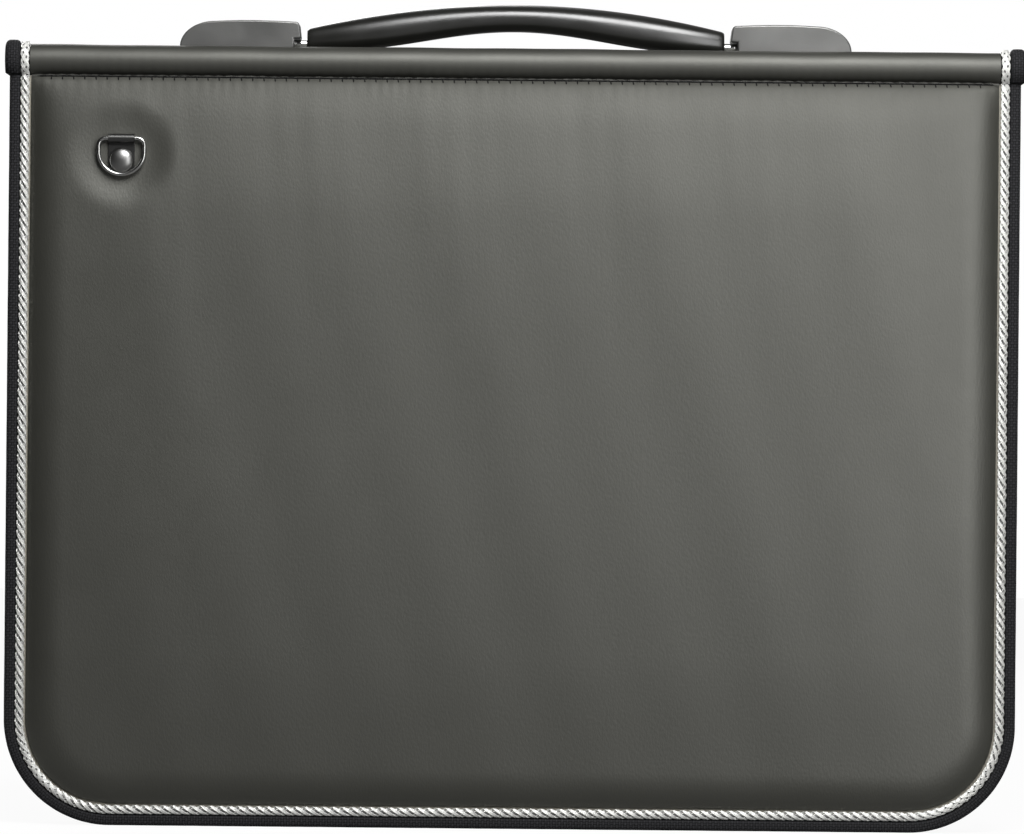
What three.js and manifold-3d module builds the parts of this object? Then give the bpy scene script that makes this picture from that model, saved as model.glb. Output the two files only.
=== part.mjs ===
// A zip-round presentation display book for landscape sheets. It stands closed on the lower
// edges of its two covers, with the padded spine and the carrying handle on top.
// Millimetres, +Z up. X runs along the spine, the front cover faces -Y, and the origin is
// under the middle of the case at the lowest point of the covers.

import * as THREE from "three";
import { mergeVertices } from "three/addons/utils/BufferGeometryUtils.js";
import Module from "manifold-3d";

const wasm = await Module();
wasm.setup();

// Clearance between pieces that touch each other
const seat = 0.3;
// How far a cutting shape runs past the face that it opens
const cutPast = 1;
// How far two shapes of one piece run into each other before they are joined
const joinDepth = 0.5;

// Sheets: a landscape A3 insert in a clear sleeve that opens at its right-hand end
const insertWidth = 420;
const insertHeight = 297;
const insertThickness = 0.6;
const filmThickness = 0.5;
const sleeveSideSeam = 1.5;
const sleeveSideEase = 0.2;
const sleeveBottomSeam = 0.7;
const sleeveCornerRadius = 6;
const pocketTopEase = 0.6;
const leavesPerSide = 2;
const leafSpacing = 0.4;

// Punched holes and the rings that pass through them
const ringCount = 4;
const ringPitch = 80;
const ringRadius = 9;
const ringWireRadius = 1.5;
const ringStraight = 5;
const ringTipGap = 0.15;
const ringOpenAngle = THREE.MathUtils.degToRad(13);
const holeRadius = 4;
const holeLand = 3.4;
const holeToTopEdge = 2.5;
const leafHang = 0.5;

// Ring mechanism on the inside of the spine
const carrierThickness = 1.5;
const carrierOverhang = 20;
const carrierCentreGap = 0.4;
const swingRoom = 0.45;
const railThickness = 1.2;
const railWidth = 22;
const railOverhang = 36;
const railRibWidth = 2;
const railRibEndGap = 1;
const rivetShankRadius = 2;
const rivetHeadRadius = 4;
const rivetHeadHeight = 1.1;
const earThickness = 1.2;
const earLength = 8;
const earInset = 5;
const earEdge = 0.8;
const leverLength = 16;
const leverToe = 3.5;
const leverWidth = 15;
const leverThickness = 1.5;
const leverDrop = 3.4;
const leverPinRadius = 1;

// Boards, linings and covering
const boardThickness = 2.5;
const liningThickness = 0.5;
const liningTopGap = 2;
const ringSideRoom = 2.7;
const panelEdgeThickness = 2.4;
const panelCrown = 3;
const panelCrownWidth = 14;
const bottomMargin = 18;
const sideMargin = 18.5;
const cornerRadius = 48.5;

// Edge of a cover, measured inwards from its outline
const bindingWidth = 5;
const bindingDepth = 4.8;
const bindingRound = 1.4;
const braidWidth = 5;
const braidThickness = 3;
const braidRound = 1;
const tapeThickness = 1;
const teethThickness = 2;
const teethWidth = 2.05;
const teethProud = 0.6;
const chainGap = 0.15;

// Spine: a board under a padded cover with a roll along each long edge
const rollRadius = 7;
const rollProud = 2;
const hingeOutset = 0.8;
const saddleThickness = 3.7;
const saddleHalfWidth = 5;
const rollLift = 0.2;
const rollSweep = THREE.MathUtils.degToRad(225);
const lipGap = 0.5;
const endCapWidth = 12.7;
const endRibWidth = 7;
const endRibHeight = 1.9;
const endSeatDrop = 1.2;
const endOverhang = 2;

// Handle, its two end lugs and the steel strip that carries them
const gripLength = 191;
const gripMidBottom = 11.7;
const gripMidThickness = 12.4;
const gripEndBottom = 2.1;
const gripTopRadius = 390;
const gripMidWidth = 18;
const gripEndWidth = 8.4;
const gripArchSharpness = 2.5;
const gripTaperSharpness = 5;
const gripSoftness = 0.85;
const handlePinRadius = 1.9;
const handlePinInsert = 6.7;
const pinHeight = 5.4;
const lugGap = 6;
const lugHoodGap = 1.5;
const lugLength = 53;
const lugHeight = 13.85;
const lugWidth = 16;
const lugLift = 0.85;
const lugEndRadius = 12;
const lugFacetRun = 5;
const lugFoot = 1.5;
const lugBevel = 0.6;
const lugHoodLip = 1.6;
const lugPostRadius = 2;
const lugPostInset = 12;
const plateThickness = 1.2;
const plateWidth = 16;
const plateOverhang = 5;

// Strap ring on each cover
const strapRingFromEdge = 51.5;
const strapRivetBelowHinge = 39;
const strapRingBarAbove = 10;
const strapRingWire = 1.05;
const strapRingInnerWidth = 18.7;
const strapRingDrop = 16.5;
const clipWidth = 12;
const clipThickness = 0.8;
const clipTail = 6.5;
const dimpleDepth = 1.9;
const dimpleFlat = 11;
const dimpleReach = 26;
const dimpleAboveRivet = 3;
const strapRivetHead = 5.25;
const strapRivetDome = 2.6;

// Zip sliders, one parked at each end of the zip
const sliderLength = 14;
const sliderWidth = 10;
const sliderPlate = 1.5;
const sliderChamfer = 1;
const sliderBridgeRise = 2.3;
const sliderBridgeWidth = 3;
const sliderBridgeLength = 9;
const sliderBridgeWire = 0.9;
const sliderBelowHinge = 18;
const pullerLength = 24;
const pullerWidth = 7;
const pullerThickness = 1.1;
const pullerSlot = 8;
const pullerAxisDrop = 2;

// Facets of round shapes
const cornerSteps = 9;
const roundSides = 16;
const pinSides = 12;
const wireSides = 8;
const rollSteps = 12;
const ringSteps = 8;
const gripSteps = 22;
const gripSides = 12;
const lugSteps = 6;
const domeSteps = 5;
const strapRingSteps = 36;
const sleeveCornerSteps = 3;
const bevelSteps = 2;

// Grid of a padded panel: rows and columns at shares of the crown's width and of the dimple's
// reach, and how many more are spread evenly over the plain parts
const crownGrid = [0, 0.32, 0.64, 1, 1.5];
const dimpleGrid = [-1, -0.7, -0.42, -0.14, 0.14, 0.42, 0.7, 1];
const panelCornerRows = 7;
const panelPlainRows = 4;
const panelPlainColumns = 6;
const panelGridGap = 2;

// Heights, worked out from the sheet upwards
const insertBottom = bottomMargin + sleeveBottomSeam + seat;
const insertTop = insertBottom + insertHeight;
const pocketTop = insertTop + pocketTopEase;
const holeHeight = pocketTop + holeLand + holeRadius;
const sleeveTop = holeHeight + holeRadius + holeToTopEdge;
const ringHeight = holeHeight - leafHang + ringRadius;
const ringTop = ringHeight + ringStraight;
const carrierReach = ringRadius + ringWireRadius + seat;
const carrierBottom = ringTop + seat;
const carrierTop = carrierBottom + carrierThickness;
const railBottom = carrierTop + carrierReach * Math.sin(ringOpenAngle) + swingRoom;
const spineLiningBottom = railBottom + railThickness + seat;
const plateBottom = spineLiningBottom + liningThickness + seat;
const spineBoardBottom = plateBottom + plateThickness + seat;
const spineBoardTop = spineBoardBottom + boardThickness;
const paddingBottom = spineBoardTop + seat;
const saddleHeight = paddingBottom + saddleThickness;
const rollHeight = paddingBottom + rollLift;
const hingeHeight = rollHeight - rollRadius;
const coverTop = hingeHeight - lipGap;

// Depths of the front half, measured from the middle of the case
const sleeveThickness = insertThickness + 2 * seat + 2 * filmThickness;
const liningInner = ringRadius + ringWireRadius + ringSideRoom;
const boardInner = liningInner + liningThickness + seat;
const boardOuter = boardInner + boardThickness;
const panelInner = boardOuter + seat;
const panelEdge = panelInner + panelEdgeThickness;
const hingeDepth = panelEdge + hingeOutset;
const rollDepth = hingeDepth + rollProud - rollRadius;

// Widths
const sleeveWidth = insertWidth + 2 * (sleeveSideSeam + seat + sleeveSideEase);
const halfCase = sleeveWidth / 2 + sideMargin;
const spineEnd = halfCase + endOverhang;
const strapRingX = strapRingFromEdge - halfCase;
const paddingEnd = spineEnd - endCapWidth - seat;
const tapeInset = bindingWidth + teethProud;
const braidInset = bindingWidth + seat;
const panelInset = braidInset + braidWidth + seat;
const boardInset = bindingWidth + seat;
const liningInset = tapeInset + tapeThickness + seat;
const ringSpan = (ringCount - 1) * ringPitch;
const gripEnd = gripLength / 2;
const lugInner = gripEnd + lugGap;
const lugOuter = lugInner + lugLength;
const pinLevel = saddleHeight + pinHeight;
const lugBottom = saddleHeight + lugLift;

// Looks of the materials
const finishes = {
  grained: { color: 0x3c3c3a, roughness: 0.62, metalness: 0 },
  binding: { color: 0x141414, roughness: 0.85, metalness: 0 },
  braid: { color: 0xb9bab8, roughness: 0.35, metalness: 0.8 },
  board: { color: 0x8f8a80, roughness: 0.9, metalness: 0 },
  lining: { color: 0x232323, roughness: 0.8, metalness: 0 },
  tape: { color: 0x121212, roughness: 0.85, metalness: 0 },
  teeth: { color: 0x1a1a1a, roughness: 0.45, metalness: 0 },
  grip: { color: 0x161616, roughness: 0.25, metalness: 0 },
  lug: { color: 0x5b5b59, roughness: 0.45, metalness: 0 },
  steel: { color: 0xc4c6c8, roughness: 0.25, metalness: 1 },
  film: { color: 0xdfe6e8, roughness: 0.15, metalness: 0 },
  card: { color: 0x18181a, roughness: 0.9, metalness: 0 },
};

// Turns a geometry into a closed solid with shared vertices and outward faces.
function solid(geometry) {
  const bare = geometry.index ? geometry.toNonIndexed() : geometry.clone();
  bare.deleteAttribute("normal");
  bare.deleteAttribute("uv");
  const merged = mergeVertices(bare, 1e-4);
  if (signedVolume(merged) < 0) {
    const index = merged.index.array;
    for (let i = 0; i < index.length; i += 3) {
      [index[i + 1], index[i + 2]] = [index[i + 2], index[i + 1]];
    }
  }
  return new wasm.Manifold(new wasm.Mesh({
    numProp: 3,
    vertProperties: new Float32Array(merged.attributes.position.array),
    triVerts: new Uint32Array(merged.index.array),
  }));
}

// Sum of the signed tetrahedra between each triangle and the origin.
function signedVolume(geometry) {
  const position = geometry.attributes.position;
  const index = geometry.index;
  const [a, b, c] = [new THREE.Vector3(), new THREE.Vector3(), new THREE.Vector3()];
  let total = 0;
  for (let i = 0; i < index.count; i += 3) {
    a.fromBufferAttribute(position, index.getX(i));
    b.fromBufferAttribute(position, index.getX(i + 1));
    c.fromBufferAttribute(position, index.getX(i + 2));
    total += a.dot(b.cross(c)) / 6;
  }
  return total;
}

// Gives a solid back as a geometry.
function toGeometry(manifold) {
  const mesh = manifold.getMesh();
  const geometry = new THREE.BufferGeometry();
  geometry.setAttribute("position", new THREE.BufferAttribute(new Float32Array(mesh.vertProperties), 3));
  geometry.setIndex(new THREE.BufferAttribute(new Uint32Array(mesh.triVerts), 1));
  geometry.computeVertexNormals();
  return geometry;
}

// A box between two corners.
function block(x0, x1, y0, y1, z0, z1) {
  const box = new THREE.BoxGeometry(x1 - x0, y1 - y0, z1 - z0);
  return box.translate((x0 + x1) / 2, (y0 + y1) / 2, (z0 + z1) / 2);
}

// The span from one distance to a larger one on the minus or the plus side of the middle.
function toSide(sign, from, to) {
  return sign < 0 ? [-to, -from] : [from, to];
}

// A cylinder along one axis, from one coordinate on that axis to another.
function rod(axis, radius, from, to, centre, sides = roundSides) {
  const cylinder = new THREE.CylinderGeometry(radius, radius, to - from, sides);
  const middle = (from + to) / 2;
  if (axis === "x") return cylinder.rotateZ(Math.PI / 2).translate(middle, centre[0], centre[1]);
  if (axis === "y") return cylinder.translate(centre[0], middle, centre[1]);
  return cylinder.rotateX(Math.PI / 2).translate(centre[0], centre[1], middle);
}

// A [y, z] profile carried along X.
function alongX(profile, x0, x1) {
  const shape = new THREE.Shape(profile.map(([y, z]) => new THREE.Vector2(y, z)));
  const geometry = new THREE.ExtrudeGeometry(shape, { depth: x1 - x0, bevelEnabled: false });
  const turn = new THREE.Matrix4().makeBasis(
    new THREE.Vector3(0, 1, 0),
    new THREE.Vector3(0, 0, 1),
    new THREE.Vector3(1, 0, 0),
  );
  return geometry.applyMatrix4(turn).translate(x0, 0, 0);
}

// An [x, z] profile carried along Y, with its edges rounded by an optional bevel.
function alongY(profile, y0, y1, bevel = 0) {
  const shape = new THREE.Shape(profile.map(([x, z]) => new THREE.Vector2(x, z)));
  const options = {
    depth: y1 - y0 - 2 * bevel,
    bevelEnabled: bevel > 0,
    bevelThickness: bevel,
    bevelSize: bevel,
    bevelOffset: -bevel,
    bevelSegments: bevelSteps,
  };
  const geometry = new THREE.ExtrudeGeometry(shape, options);
  return geometry.rotateX(Math.PI / 2).translate(0, y1 - bevel, 0);
}

// Joins rings of points, each with as many points, into a tube with flat ends.
function loft(rings) {
  const points = rings.flat();
  const count = rings[0].length;
  const index = [];
  for (let r = 0; r < rings.length - 1; r++) {
    for (let i = 0; i < count; i++) {
      const j = (i + 1) % count;
      const [a, b] = [r * count + i, r * count + j];
      index.push(a, b, b + count, a, b + count, a + count);
    }
  }
  const last = (rings.length - 1) * count;
  for (let i = 1; i < count - 1; i++) {
    index.push(0, i + 1, i, last, last + i, last + i + 1);
  }
  const geometry = new THREE.BufferGeometry();
  geometry.setAttribute("position", new THREE.Float32BufferAttribute(points.flat(), 3));
  geometry.setIndex(index);
  return geometry;
}

// Points of an arc in a plane, both ends included.
function arc(centre, radii, from, to, steps) {
  return Array.from({ length: steps + 1 }, (_, i) => {
    const angle = from + ((to - from) * i) / steps;
    return [centre[0] + radii[0] * Math.cos(angle), centre[1] + radii[1] * Math.sin(angle)];
  });
}

// Stations of the U that a cover's edge follows: down the left, along the bottom, up the right.
// Each has a point on the outline and the inward direction there.
function edgeStations(top) {
  const flat = halfCase - cornerRadius;
  const left = [{ x: -halfCase, z: top, nx: 1, nz: 0 }];
  for (let i = 0; i <= cornerSteps; i++) {
    const angle = Math.PI + (Math.PI / 2) * (i / cornerSteps);
    const [c, s] = [Math.cos(angle), Math.sin(angle)];
    left.push({ x: -flat + cornerRadius * c, z: cornerRadius * (1 + s), nx: -c, nz: -s });
  }
  const right = left.map(({ x, z, nx, nz }) => ({ x: -x, z, nx: -nx, nz })).reverse();
  return [...left, ...right];
}

// A section of [inset, y] points carried along the U of a cover's edge.
function edgePiece(section, top) {
  return loft(edgeStations(top).map(({ x, z, nx, nz }) =>
    section.map(([inset, y]) => [x + inset * nx, y, z + inset * nz])));
}

// Outline of a cover as [x, z] points, moved inwards and closed by a straight top edge.
function coverOutline(inset, top) {
  return edgeStations(top).map(({ x, z, nx, nz }) => [x + inset * nx, z + inset * nz]);
}

// A rounded section of [inset, y] points with the given sides and corner cut.
function roundedSection(inset, width, y0, y1, cut) {
  const [a, b] = [inset, inset + width];
  return [
    [a + cut, y0], [b - cut, y0], [b, y0 + cut], [b, y1 - cut],
    [b - cut, y1], [a + cut, y1], [a, y1 - cut], [a, y0 + cut],
  ];
}

// Eases from 0 to 1 with level ends.
function ease(value) {
  const t = Math.min(Math.max(value, 0), 1);
  return t * t * (3 - 2 * t);
}

// Adds a named mesh to the assembly.
const assembly = new THREE.Group();
function add(name, shape, finish, parent = assembly) {
  const geometry = shape instanceof THREE.BufferGeometry ? toGeometry(solid(shape)) : toGeometry(shape);
  const mesh = new THREE.Mesh(geometry, new THREE.MeshStandardMaterial(finishes[finish]));
  mesh.name = name;
  parent.add(mesh);
}

// Cuts shapes away from a solid.
function cut(shape, ...tools) {
  const start = shape instanceof THREE.BufferGeometry ? solid(shape) : shape;
  return tools.reduce((rest, tool) => rest.subtract(solid(tool)), start);
}

// Joins shapes that overlap into one solid.
function join(...shapes) {
  return shapes.map((shape) => solid(shape)).reduce((whole, next) => whole.add(next));
}

// Padded cover panel: a crowned front surface over a flat back. The crown rises over
// panelCrownWidth from every edge and sinks again in a shallow dimple under the strap ring.
function panelGeometry() {
  const top = coverTop - seat;
  const bottom = panelInset;
  const radius = cornerRadius - panelInset;
  const half = halfCase - panelInset;
  const rivetHeight = hingeHeight - strapRivetBelowHinge;
  const halfWidthAt = (z) => {
    const rise = Math.max(bottom + radius - z, 0);
    return half - radius + Math.sqrt(Math.max(radius * radius - rise * rise, 0));
  };
  const edgeDistance = (x, z) => {
    const [dx, dz] = [Math.abs(x) - (half - radius), bottom + radius - z];
    const round = dx > 0 && dz > 0 ? radius - Math.hypot(dx, dz) : Infinity;
    return Math.min(half - Math.abs(x), z - bottom, top - z, round);
  };
  const depth = (x, z) => {
    const away = Math.hypot(x - strapRingX, z - rivetHeight - dimpleAboveRivet);
    const dimple = dimpleDepth * (1 - ease((away - dimpleFlat) / (dimpleReach - dimpleFlat)));
    return panelEdge + panelCrown * ease(edgeDistance(x, z) / panelCrownWidth) - dimple;
  };
  const crown = crownGrid.map((share) => share * panelCrownWidth);
  const innermost = crown[crown.length - 1] + panelGridGap;
  const dimple = dimpleGrid.map((share) => share * dimpleReach);
  const corner = arc([0, bottom + radius], [0, radius], -Math.PI / 2, 0, panelCornerRows);
  const cornerRows = corner.map(([, z]) => z);
  const dimpleRows = dimple.map((offset) => rivetHeight + dimpleAboveRivet + offset)
    .filter((z) => z < top - innermost);
  const crownRows = crown.map((offset) => top - offset);
  const plainRows = spread(bottom + radius, Math.min(...dimpleRows), panelPlainRows);
  const rows = [...cornerRows, ...plainRows, ...dimpleRows, ...crownRows].sort((a, b) => a - b);
  const dimpleColumns = dimple.map((offset) => strapRingX + offset).filter((x) => x > -half + innermost);
  const plainColumns = spread(Math.max(...dimpleColumns), half - innermost, panelPlainColumns);
  const edgeColumns = crown.flatMap((offset) => [offset - half, half - offset]);
  const columns = [...edgeColumns, ...dimpleColumns, ...plainColumns].sort((a, b) => a - b);
  const grid = rows.map((z) => {
    const share = halfWidthAt(z) / half;
    return columns.map((x) => [x * share, -depth(x * share, z), z]);
  });
  return closedPanel(grid);
}

// Places spread evenly between two ends, the ends left out.
function spread(from, to, count) {
  return Array.from({ length: count }, (_, i) => from + ((to - from) * (i + 1)) / (count + 1));
}

// Closes a grid of front points with a rim and a flat back.
function closedPanel(grid) {
  const [rows, columns] = [grid.length, grid[0].length];
  const points = grid.flat();
  const index = [];
  for (let r = 0; r < rows - 1; r++) {
    for (let c = 0; c < columns - 1; c++) {
      const a = r * columns + c;
      index.push(a, a + 1, a + columns + 1, a, a + columns + 1, a + columns);
    }
  }
  const rim = [];
  for (let c = 0; c < columns; c++) rim.push(c);
  for (let r = 1; r < rows; r++) rim.push(r * columns + columns - 1);
  for (let c = columns - 2; c >= 0; c--) rim.push((rows - 1) * columns + c);
  for (let r = rows - 2; r > 0; r--) rim.push(r * columns);
  const firstBack = points.length;
  for (const i of rim) points.push([points[i][0], -panelInner, points[i][2]]);
  const middle = points.length;
  points.push([0, -panelInner, grid[rows - 1][0][2] / 2]);
  rim.forEach((a, i) => {
    const next = (i + 1) % rim.length;
    const [b, c, d] = [rim[next], firstBack + next, firstBack + i];
    index.push(b, a, d, b, d, c, c, d, middle);
  });
  const geometry = new THREE.BufferGeometry();
  geometry.setAttribute("position", new THREE.Float32BufferAttribute(points.flat(), 3));
  geometry.setIndex(index);
  return geometry;
}

// The D-shaped centre line of a strap ring: a bar on top, two short sides and a half round.
class StrapRingCurve extends THREE.Curve {
  getPoint(t) {
    const reach = strapRingInnerWidth / 2 + strapRingWire;
    const side = strapRingDrop - reach;
    const lengths = [2 * reach, side, Math.PI * reach, side];
    let distance = t * lengths.reduce((sum, length) => sum + length);
    if (distance < lengths[0]) return new THREE.Vector3(-reach + distance, 0, 0);
    distance -= lengths[0];
    if (distance < side) return new THREE.Vector3(reach, 0, -distance);
    distance -= side;
    if (distance < lengths[2]) {
      const angle = distance / reach;
      return new THREE.Vector3(reach * Math.cos(angle), 0, -side - reach * Math.sin(angle));
    }
    return new THREE.Vector3(-reach, 0, -side + distance - lengths[2]);
  }
}

// One cover with everything that is fixed to it, and the strap ring in its clip.
function addCover(side, turn) {
  const cover = new THREE.Group();
  cover.rotation.z = turn;
  assembly.add(cover);

  const rivetHeight = hingeHeight - strapRivetBelowHinge;
  const outermost = panelEdge + panelCrown + clipThickness + cutPast;
  const rivetPlace = [strapRingX, rivetHeight];
  const rivetHole = rod("y", rivetShankRadius + seat, -outermost, cutPast - boardInner, rivetPlace);
  const boardShape = alongY(coverOutline(boardInset, coverTop), -boardOuter, -boardInner);
  add(`${side}_cover_board`, cut(boardShape, rivetHole), "board", cover);
  add(`${side}_cover_panel`, cut(panelGeometry(), rivetHole), "grained", cover);
  const liningTop = coverTop - liningTopGap;
  const liningShape = alongY(coverOutline(liningInset, liningTop), -boardInner + seat, -liningInner);
  add(`${side}_cover_lining`, liningShape, "lining", cover);

  const bindingBack = -boardInner - seat / 2;
  const bindingFront = bindingBack - bindingDepth;
  const bindingSection = roundedSection(0, bindingWidth, bindingFront, bindingBack, bindingRound);
  add(`${side}_edge_binding`, edgePiece(bindingSection, coverTop), "binding", cover);
  const braidFront = -panelInner - braidThickness;
  const braidSection = roundedSection(braidInset, braidWidth, braidFront, -panelInner, braidRound);
  add(`${side}_edge_braid`, edgePiece(braidSection, coverTop), "braid", cover);

  const tapeEnd = -chainGap - teethWidth - seat;
  const tapeSection = [
    [tapeInset, -boardInner + seat], [tapeInset, tapeEnd],
    [tapeInset + tapeThickness, tapeEnd], [tapeInset + tapeThickness, -boardInner + seat],
  ];
  add(`${side}_zip_tape`, edgePiece(tapeSection, coverTop), "tape", cover);
  const teethSection = [
    [bindingWidth, tapeEnd + seat], [bindingWidth, -chainGap],
    [bindingWidth + teethThickness, -chainGap], [bindingWidth + teethThickness, tapeEnd + seat],
  ];
  add(`${side}_zip_teeth`, edgePiece(teethSection, coverTop), "teeth", cover);

  addStrapRing(side, cover, rivetHeight, rivetHole);
}

// Folded clip, its rivet and the strap ring that swings in the fold.
function addStrapRing(side, cover, rivetHeight, rivetHole) {
  const dimpleFace = panelEdge + panelCrown - dimpleDepth;
  const clipBack = dimpleFace + seat;
  const clipFront = clipBack + clipThickness;
  const barHeight = rivetHeight + strapRingBarAbove;
  const loopInner = strapRingWire + seat;
  const loopOuter = loopInner + clipThickness;
  const barDepth = clipBack + loopOuter;
  const [x0, x1] = [strapRingX - clipWidth / 2, strapRingX + clipWidth / 2];
  const strip = block(x0, x1, -clipFront, -clipBack, rivetHeight - clipTail, barHeight);
  const curl = rod("x", loopOuter, x0, x1, [-barDepth, barHeight]);
  const eye = rod("x", loopInner, x0 - cutPast, x1 + cutPast, [-barDepth, barHeight]);
  add(`${side}_strap_clip`, cut(join(strip, curl), eye, rivetHole), "steel", cover);

  const headBase = clipFront + seat;
  const dome = arc([0, 0], [strapRivetHead, strapRivetDome], 0, Math.PI / 2, domeSteps);
  const profile = [
    [0, -(headBase - boardInner - seat)], [rivetShankRadius, -(headBase - boardInner - seat)],
    [rivetShankRadius, 0], ...dome.slice(0, -1), [0, strapRivetDome],
  ];
  const rivet = new THREE.LatheGeometry(profile.map(([r, h]) => new THREE.Vector2(r, h)), roundSides);
  rivet.rotateZ(Math.PI).translate(strapRingX, -headBase, rivetHeight);
  add(`${side}_strap_rivet`, rivet, "steel", cover);

  const ring = new THREE.TubeGeometry(new StrapRingCurve(), strapRingSteps, strapRingWire, wireSides, true);
  ring.translate(strapRingX, -barDepth, barHeight);
  add(`${side}_strap_ring`, ring, "steel", cover);
}

// Surface line of the spine from the front lip, over both rolls and the saddle, to the back
// lip, as [y, z] points. It is moved outwards by grow and starts at the lip height.
function rollLine(grow) {
  const radius = rollRadius + grow;
  const lip = hingeHeight + seat;
  const start = Math.acos(Math.min((rollHeight - lip) / radius, 1));
  const front = arc([-rollDepth, rollHeight], [radius, radius],
    -Math.PI / 2 - start, -Math.PI / 2 - rollSweep, rollSteps);
  const half = [...front, [-saddleHalfWidth, saddleHeight + grow]];
  return [...half, ...half.map(([y, z]) => [-y, z]).reverse()];
}

// Spine: padded cover, board, steel strip and lining, one above the other, and the end pieces.
function addSpine() {
  const lip = hingeHeight + seat;
  const channel = boardInner + seat;
  const holes = lugPostPlaces().map((x) =>
    rod("z", lugPostRadius + seat, plateBottom - cutPast, saddleHeight + cutPast, [x, 0]));
  const railHoles = railRivetPlaces().map((x) =>
    rod("z", rivetShankRadius + seat, railBottom - cutPast, spineBoardTop + cutPast, [x, 0]));
  const profile = [
    ...rollLine(0), [channel, lip], [channel, paddingBottom], [-channel, paddingBottom], [-channel, lip],
  ];
  add("spine_cover", cut(alongX(profile, -paddingEnd, paddingEnd), ...holes), "grained");
  const board = block(-paddingEnd, paddingEnd, -boardInner, boardInner, spineBoardBottom, spineBoardTop);
  add("spine_board", cut(board, ...holes, ...railHoles), "board");
  const plateEnd = lugOuter + plateOverhang;
  const plate = block(-plateEnd, plateEnd, -plateWidth / 2, plateWidth / 2,
    plateBottom, plateBottom + plateThickness);
  add("handle_plate", cut(plate, ...holes, ...railHoles), "steel");
  const lining = block(-paddingEnd, paddingEnd, -boardInner, boardInner,
    spineLiningBottom, spineLiningBottom + liningThickness);
  add("spine_lining", cut(lining, ...railHoles), "lining");
  addSpineEnd("left", -1);
  addSpineEnd("right", 1);
}

// Folded binding round one end of the spine, and the braid that crosses over it.
function addSpineEnd(side, sign) {
  const seatProfile = rollLine(-endSeatDrop);
  const inner = alongX(seatProfile, spineEnd - endCapWidth, spineEnd - endRibWidth + joinDepth);
  const rib = alongX(rollLine(endRibHeight), spineEnd - endRibWidth, spineEnd);
  const braidStart = halfCase - braidInset - braidWidth;
  const braidProfile = [...rollLine(endRibHeight), ...rollLine(seat - endSeatDrop).reverse()];
  const braid = alongX(braidProfile, braidStart, braidStart + braidWidth);
  const mirrored = (shape) => solid(sign < 0 ? toGeometry(solid(shape)).scale(-1, 1, 1) : shape);
  add(`${side}_spine_binding`, mirrored(inner).add(mirrored(rib)), "binding");
  add(`${side}_spine_braid`, mirrored(braid), "braid");
}

// Places along X of the lug posts, and of the rail rivets, one between the posts of each lug.
function lugPostPlaces() {
  const places = [lugInner + lugPostInset, lugOuter - lugPostInset];
  return [...places, ...places.map((x) => -x)];
}
function railRivetPlaces() {
  const place = (lugInner + lugOuter) / 2;
  return [-place, place];
}

// Moulded grip: an arched bar, thick in the middle and narrow at its ends, with a blind hole
// at each end for the pin that it turns on.
function addHandle() {
  const peak = saddleHeight + gripMidBottom + gripMidThickness;
  const stations = Array.from({ length: gripSteps + 1 }, (_, i) => -Math.cos((Math.PI * i) / gripSteps));
  const rings = stations.map((t) => {
    const x = t * gripEnd;
    const top = peak - (x * x) / (2 * gripTopRadius);
    const arch = Math.max(Math.cos((t * Math.PI) / 2), 0) ** gripArchSharpness;
    const bottom = saddleHeight + gripEndBottom + (gripMidBottom - gripEndBottom) * arch;
    const width = gripEndWidth + (gripMidWidth - gripEndWidth) * (1 - Math.abs(t) ** gripTaperSharpness);
    return roundedRing(x, (top + bottom) / 2, width / 2, (top - bottom) / 2);
  });
  const pinHoles = [-1, 1].map((sign) => {
    const depth = handlePinInsert + seat;
    const span = toSide(sign, gripEnd - depth, gripEnd + cutPast);
    return rod("x", handlePinRadius + seat, ...span, [0, pinLevel]);
  });
  add("handle_grip", cut(loft(rings), ...pinHoles), "grip");
  addLug("left", -1);
  addLug("right", 1);
}

// Soft-cornered cross-section at one place along the grip.
function roundedRing(x, height, halfWidth, halfHeight) {
  return Array.from({ length: gripSides }, (_, i) => {
    const angle = (2 * Math.PI * i) / gripSides;
    const soften = (value) => Math.sign(value) * Math.abs(value) ** gripSoftness;
    return [x, halfWidth * soften(Math.cos(angle)), height + halfHeight * soften(Math.sin(angle))];
  });
}

// End lug: rounded at its outer end, a hood over the pin at its inner end, and two posts
// that go down through the spine to the steel strip.
function addLug(side, sign) {
  const top = lugBottom + lugHeight;
  const hoodBottom = pinLevel + handlePinRadius + seat;
  const hoodTip = gripEnd + lugHoodGap;
  const round = arc([lugOuter - lugEndRadius, lugBottom + lugFoot],
    [lugEndRadius, lugHeight - lugFoot], 0, Math.PI / 2, lugSteps);
  const profile = [
    [lugInner, lugBottom], [lugOuter, lugBottom], ...round,
    [hoodTip + lugFacetRun, top], [hoodTip, hoodBottom + lugHoodLip], [hoodTip, hoodBottom],
    [lugInner, hoodBottom],
  ].map(([x, z]) => [sign * x, z]);
  const body = alongY(profile, -lugWidth / 2, lugWidth / 2, lugBevel);
  const posts = lugPostPlaces().filter((x) => x * sign > 0).map((x) =>
    rod("z", lugPostRadius, plateBottom, lugBottom + lugBevel + joinDepth, [x, 0]));
  const pinTo = lugInner + handlePinInsert;
  const pinSpan = toSide(sign, gripEnd - handlePinInsert, pinTo);
  const holeSpan = toSide(sign, lugInner - cutPast, pinTo + seat);
  const hole = rod("x", handlePinRadius + seat, ...holeSpan, [0, pinLevel]);
  add(`${side}_handle_lug`, cut(join(body, ...posts), hole), "lug");
  add(`${side}_handle_pin`, rod("x", handlePinRadius, ...pinSpan, [0, pinLevel]), "steel");
}

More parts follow.
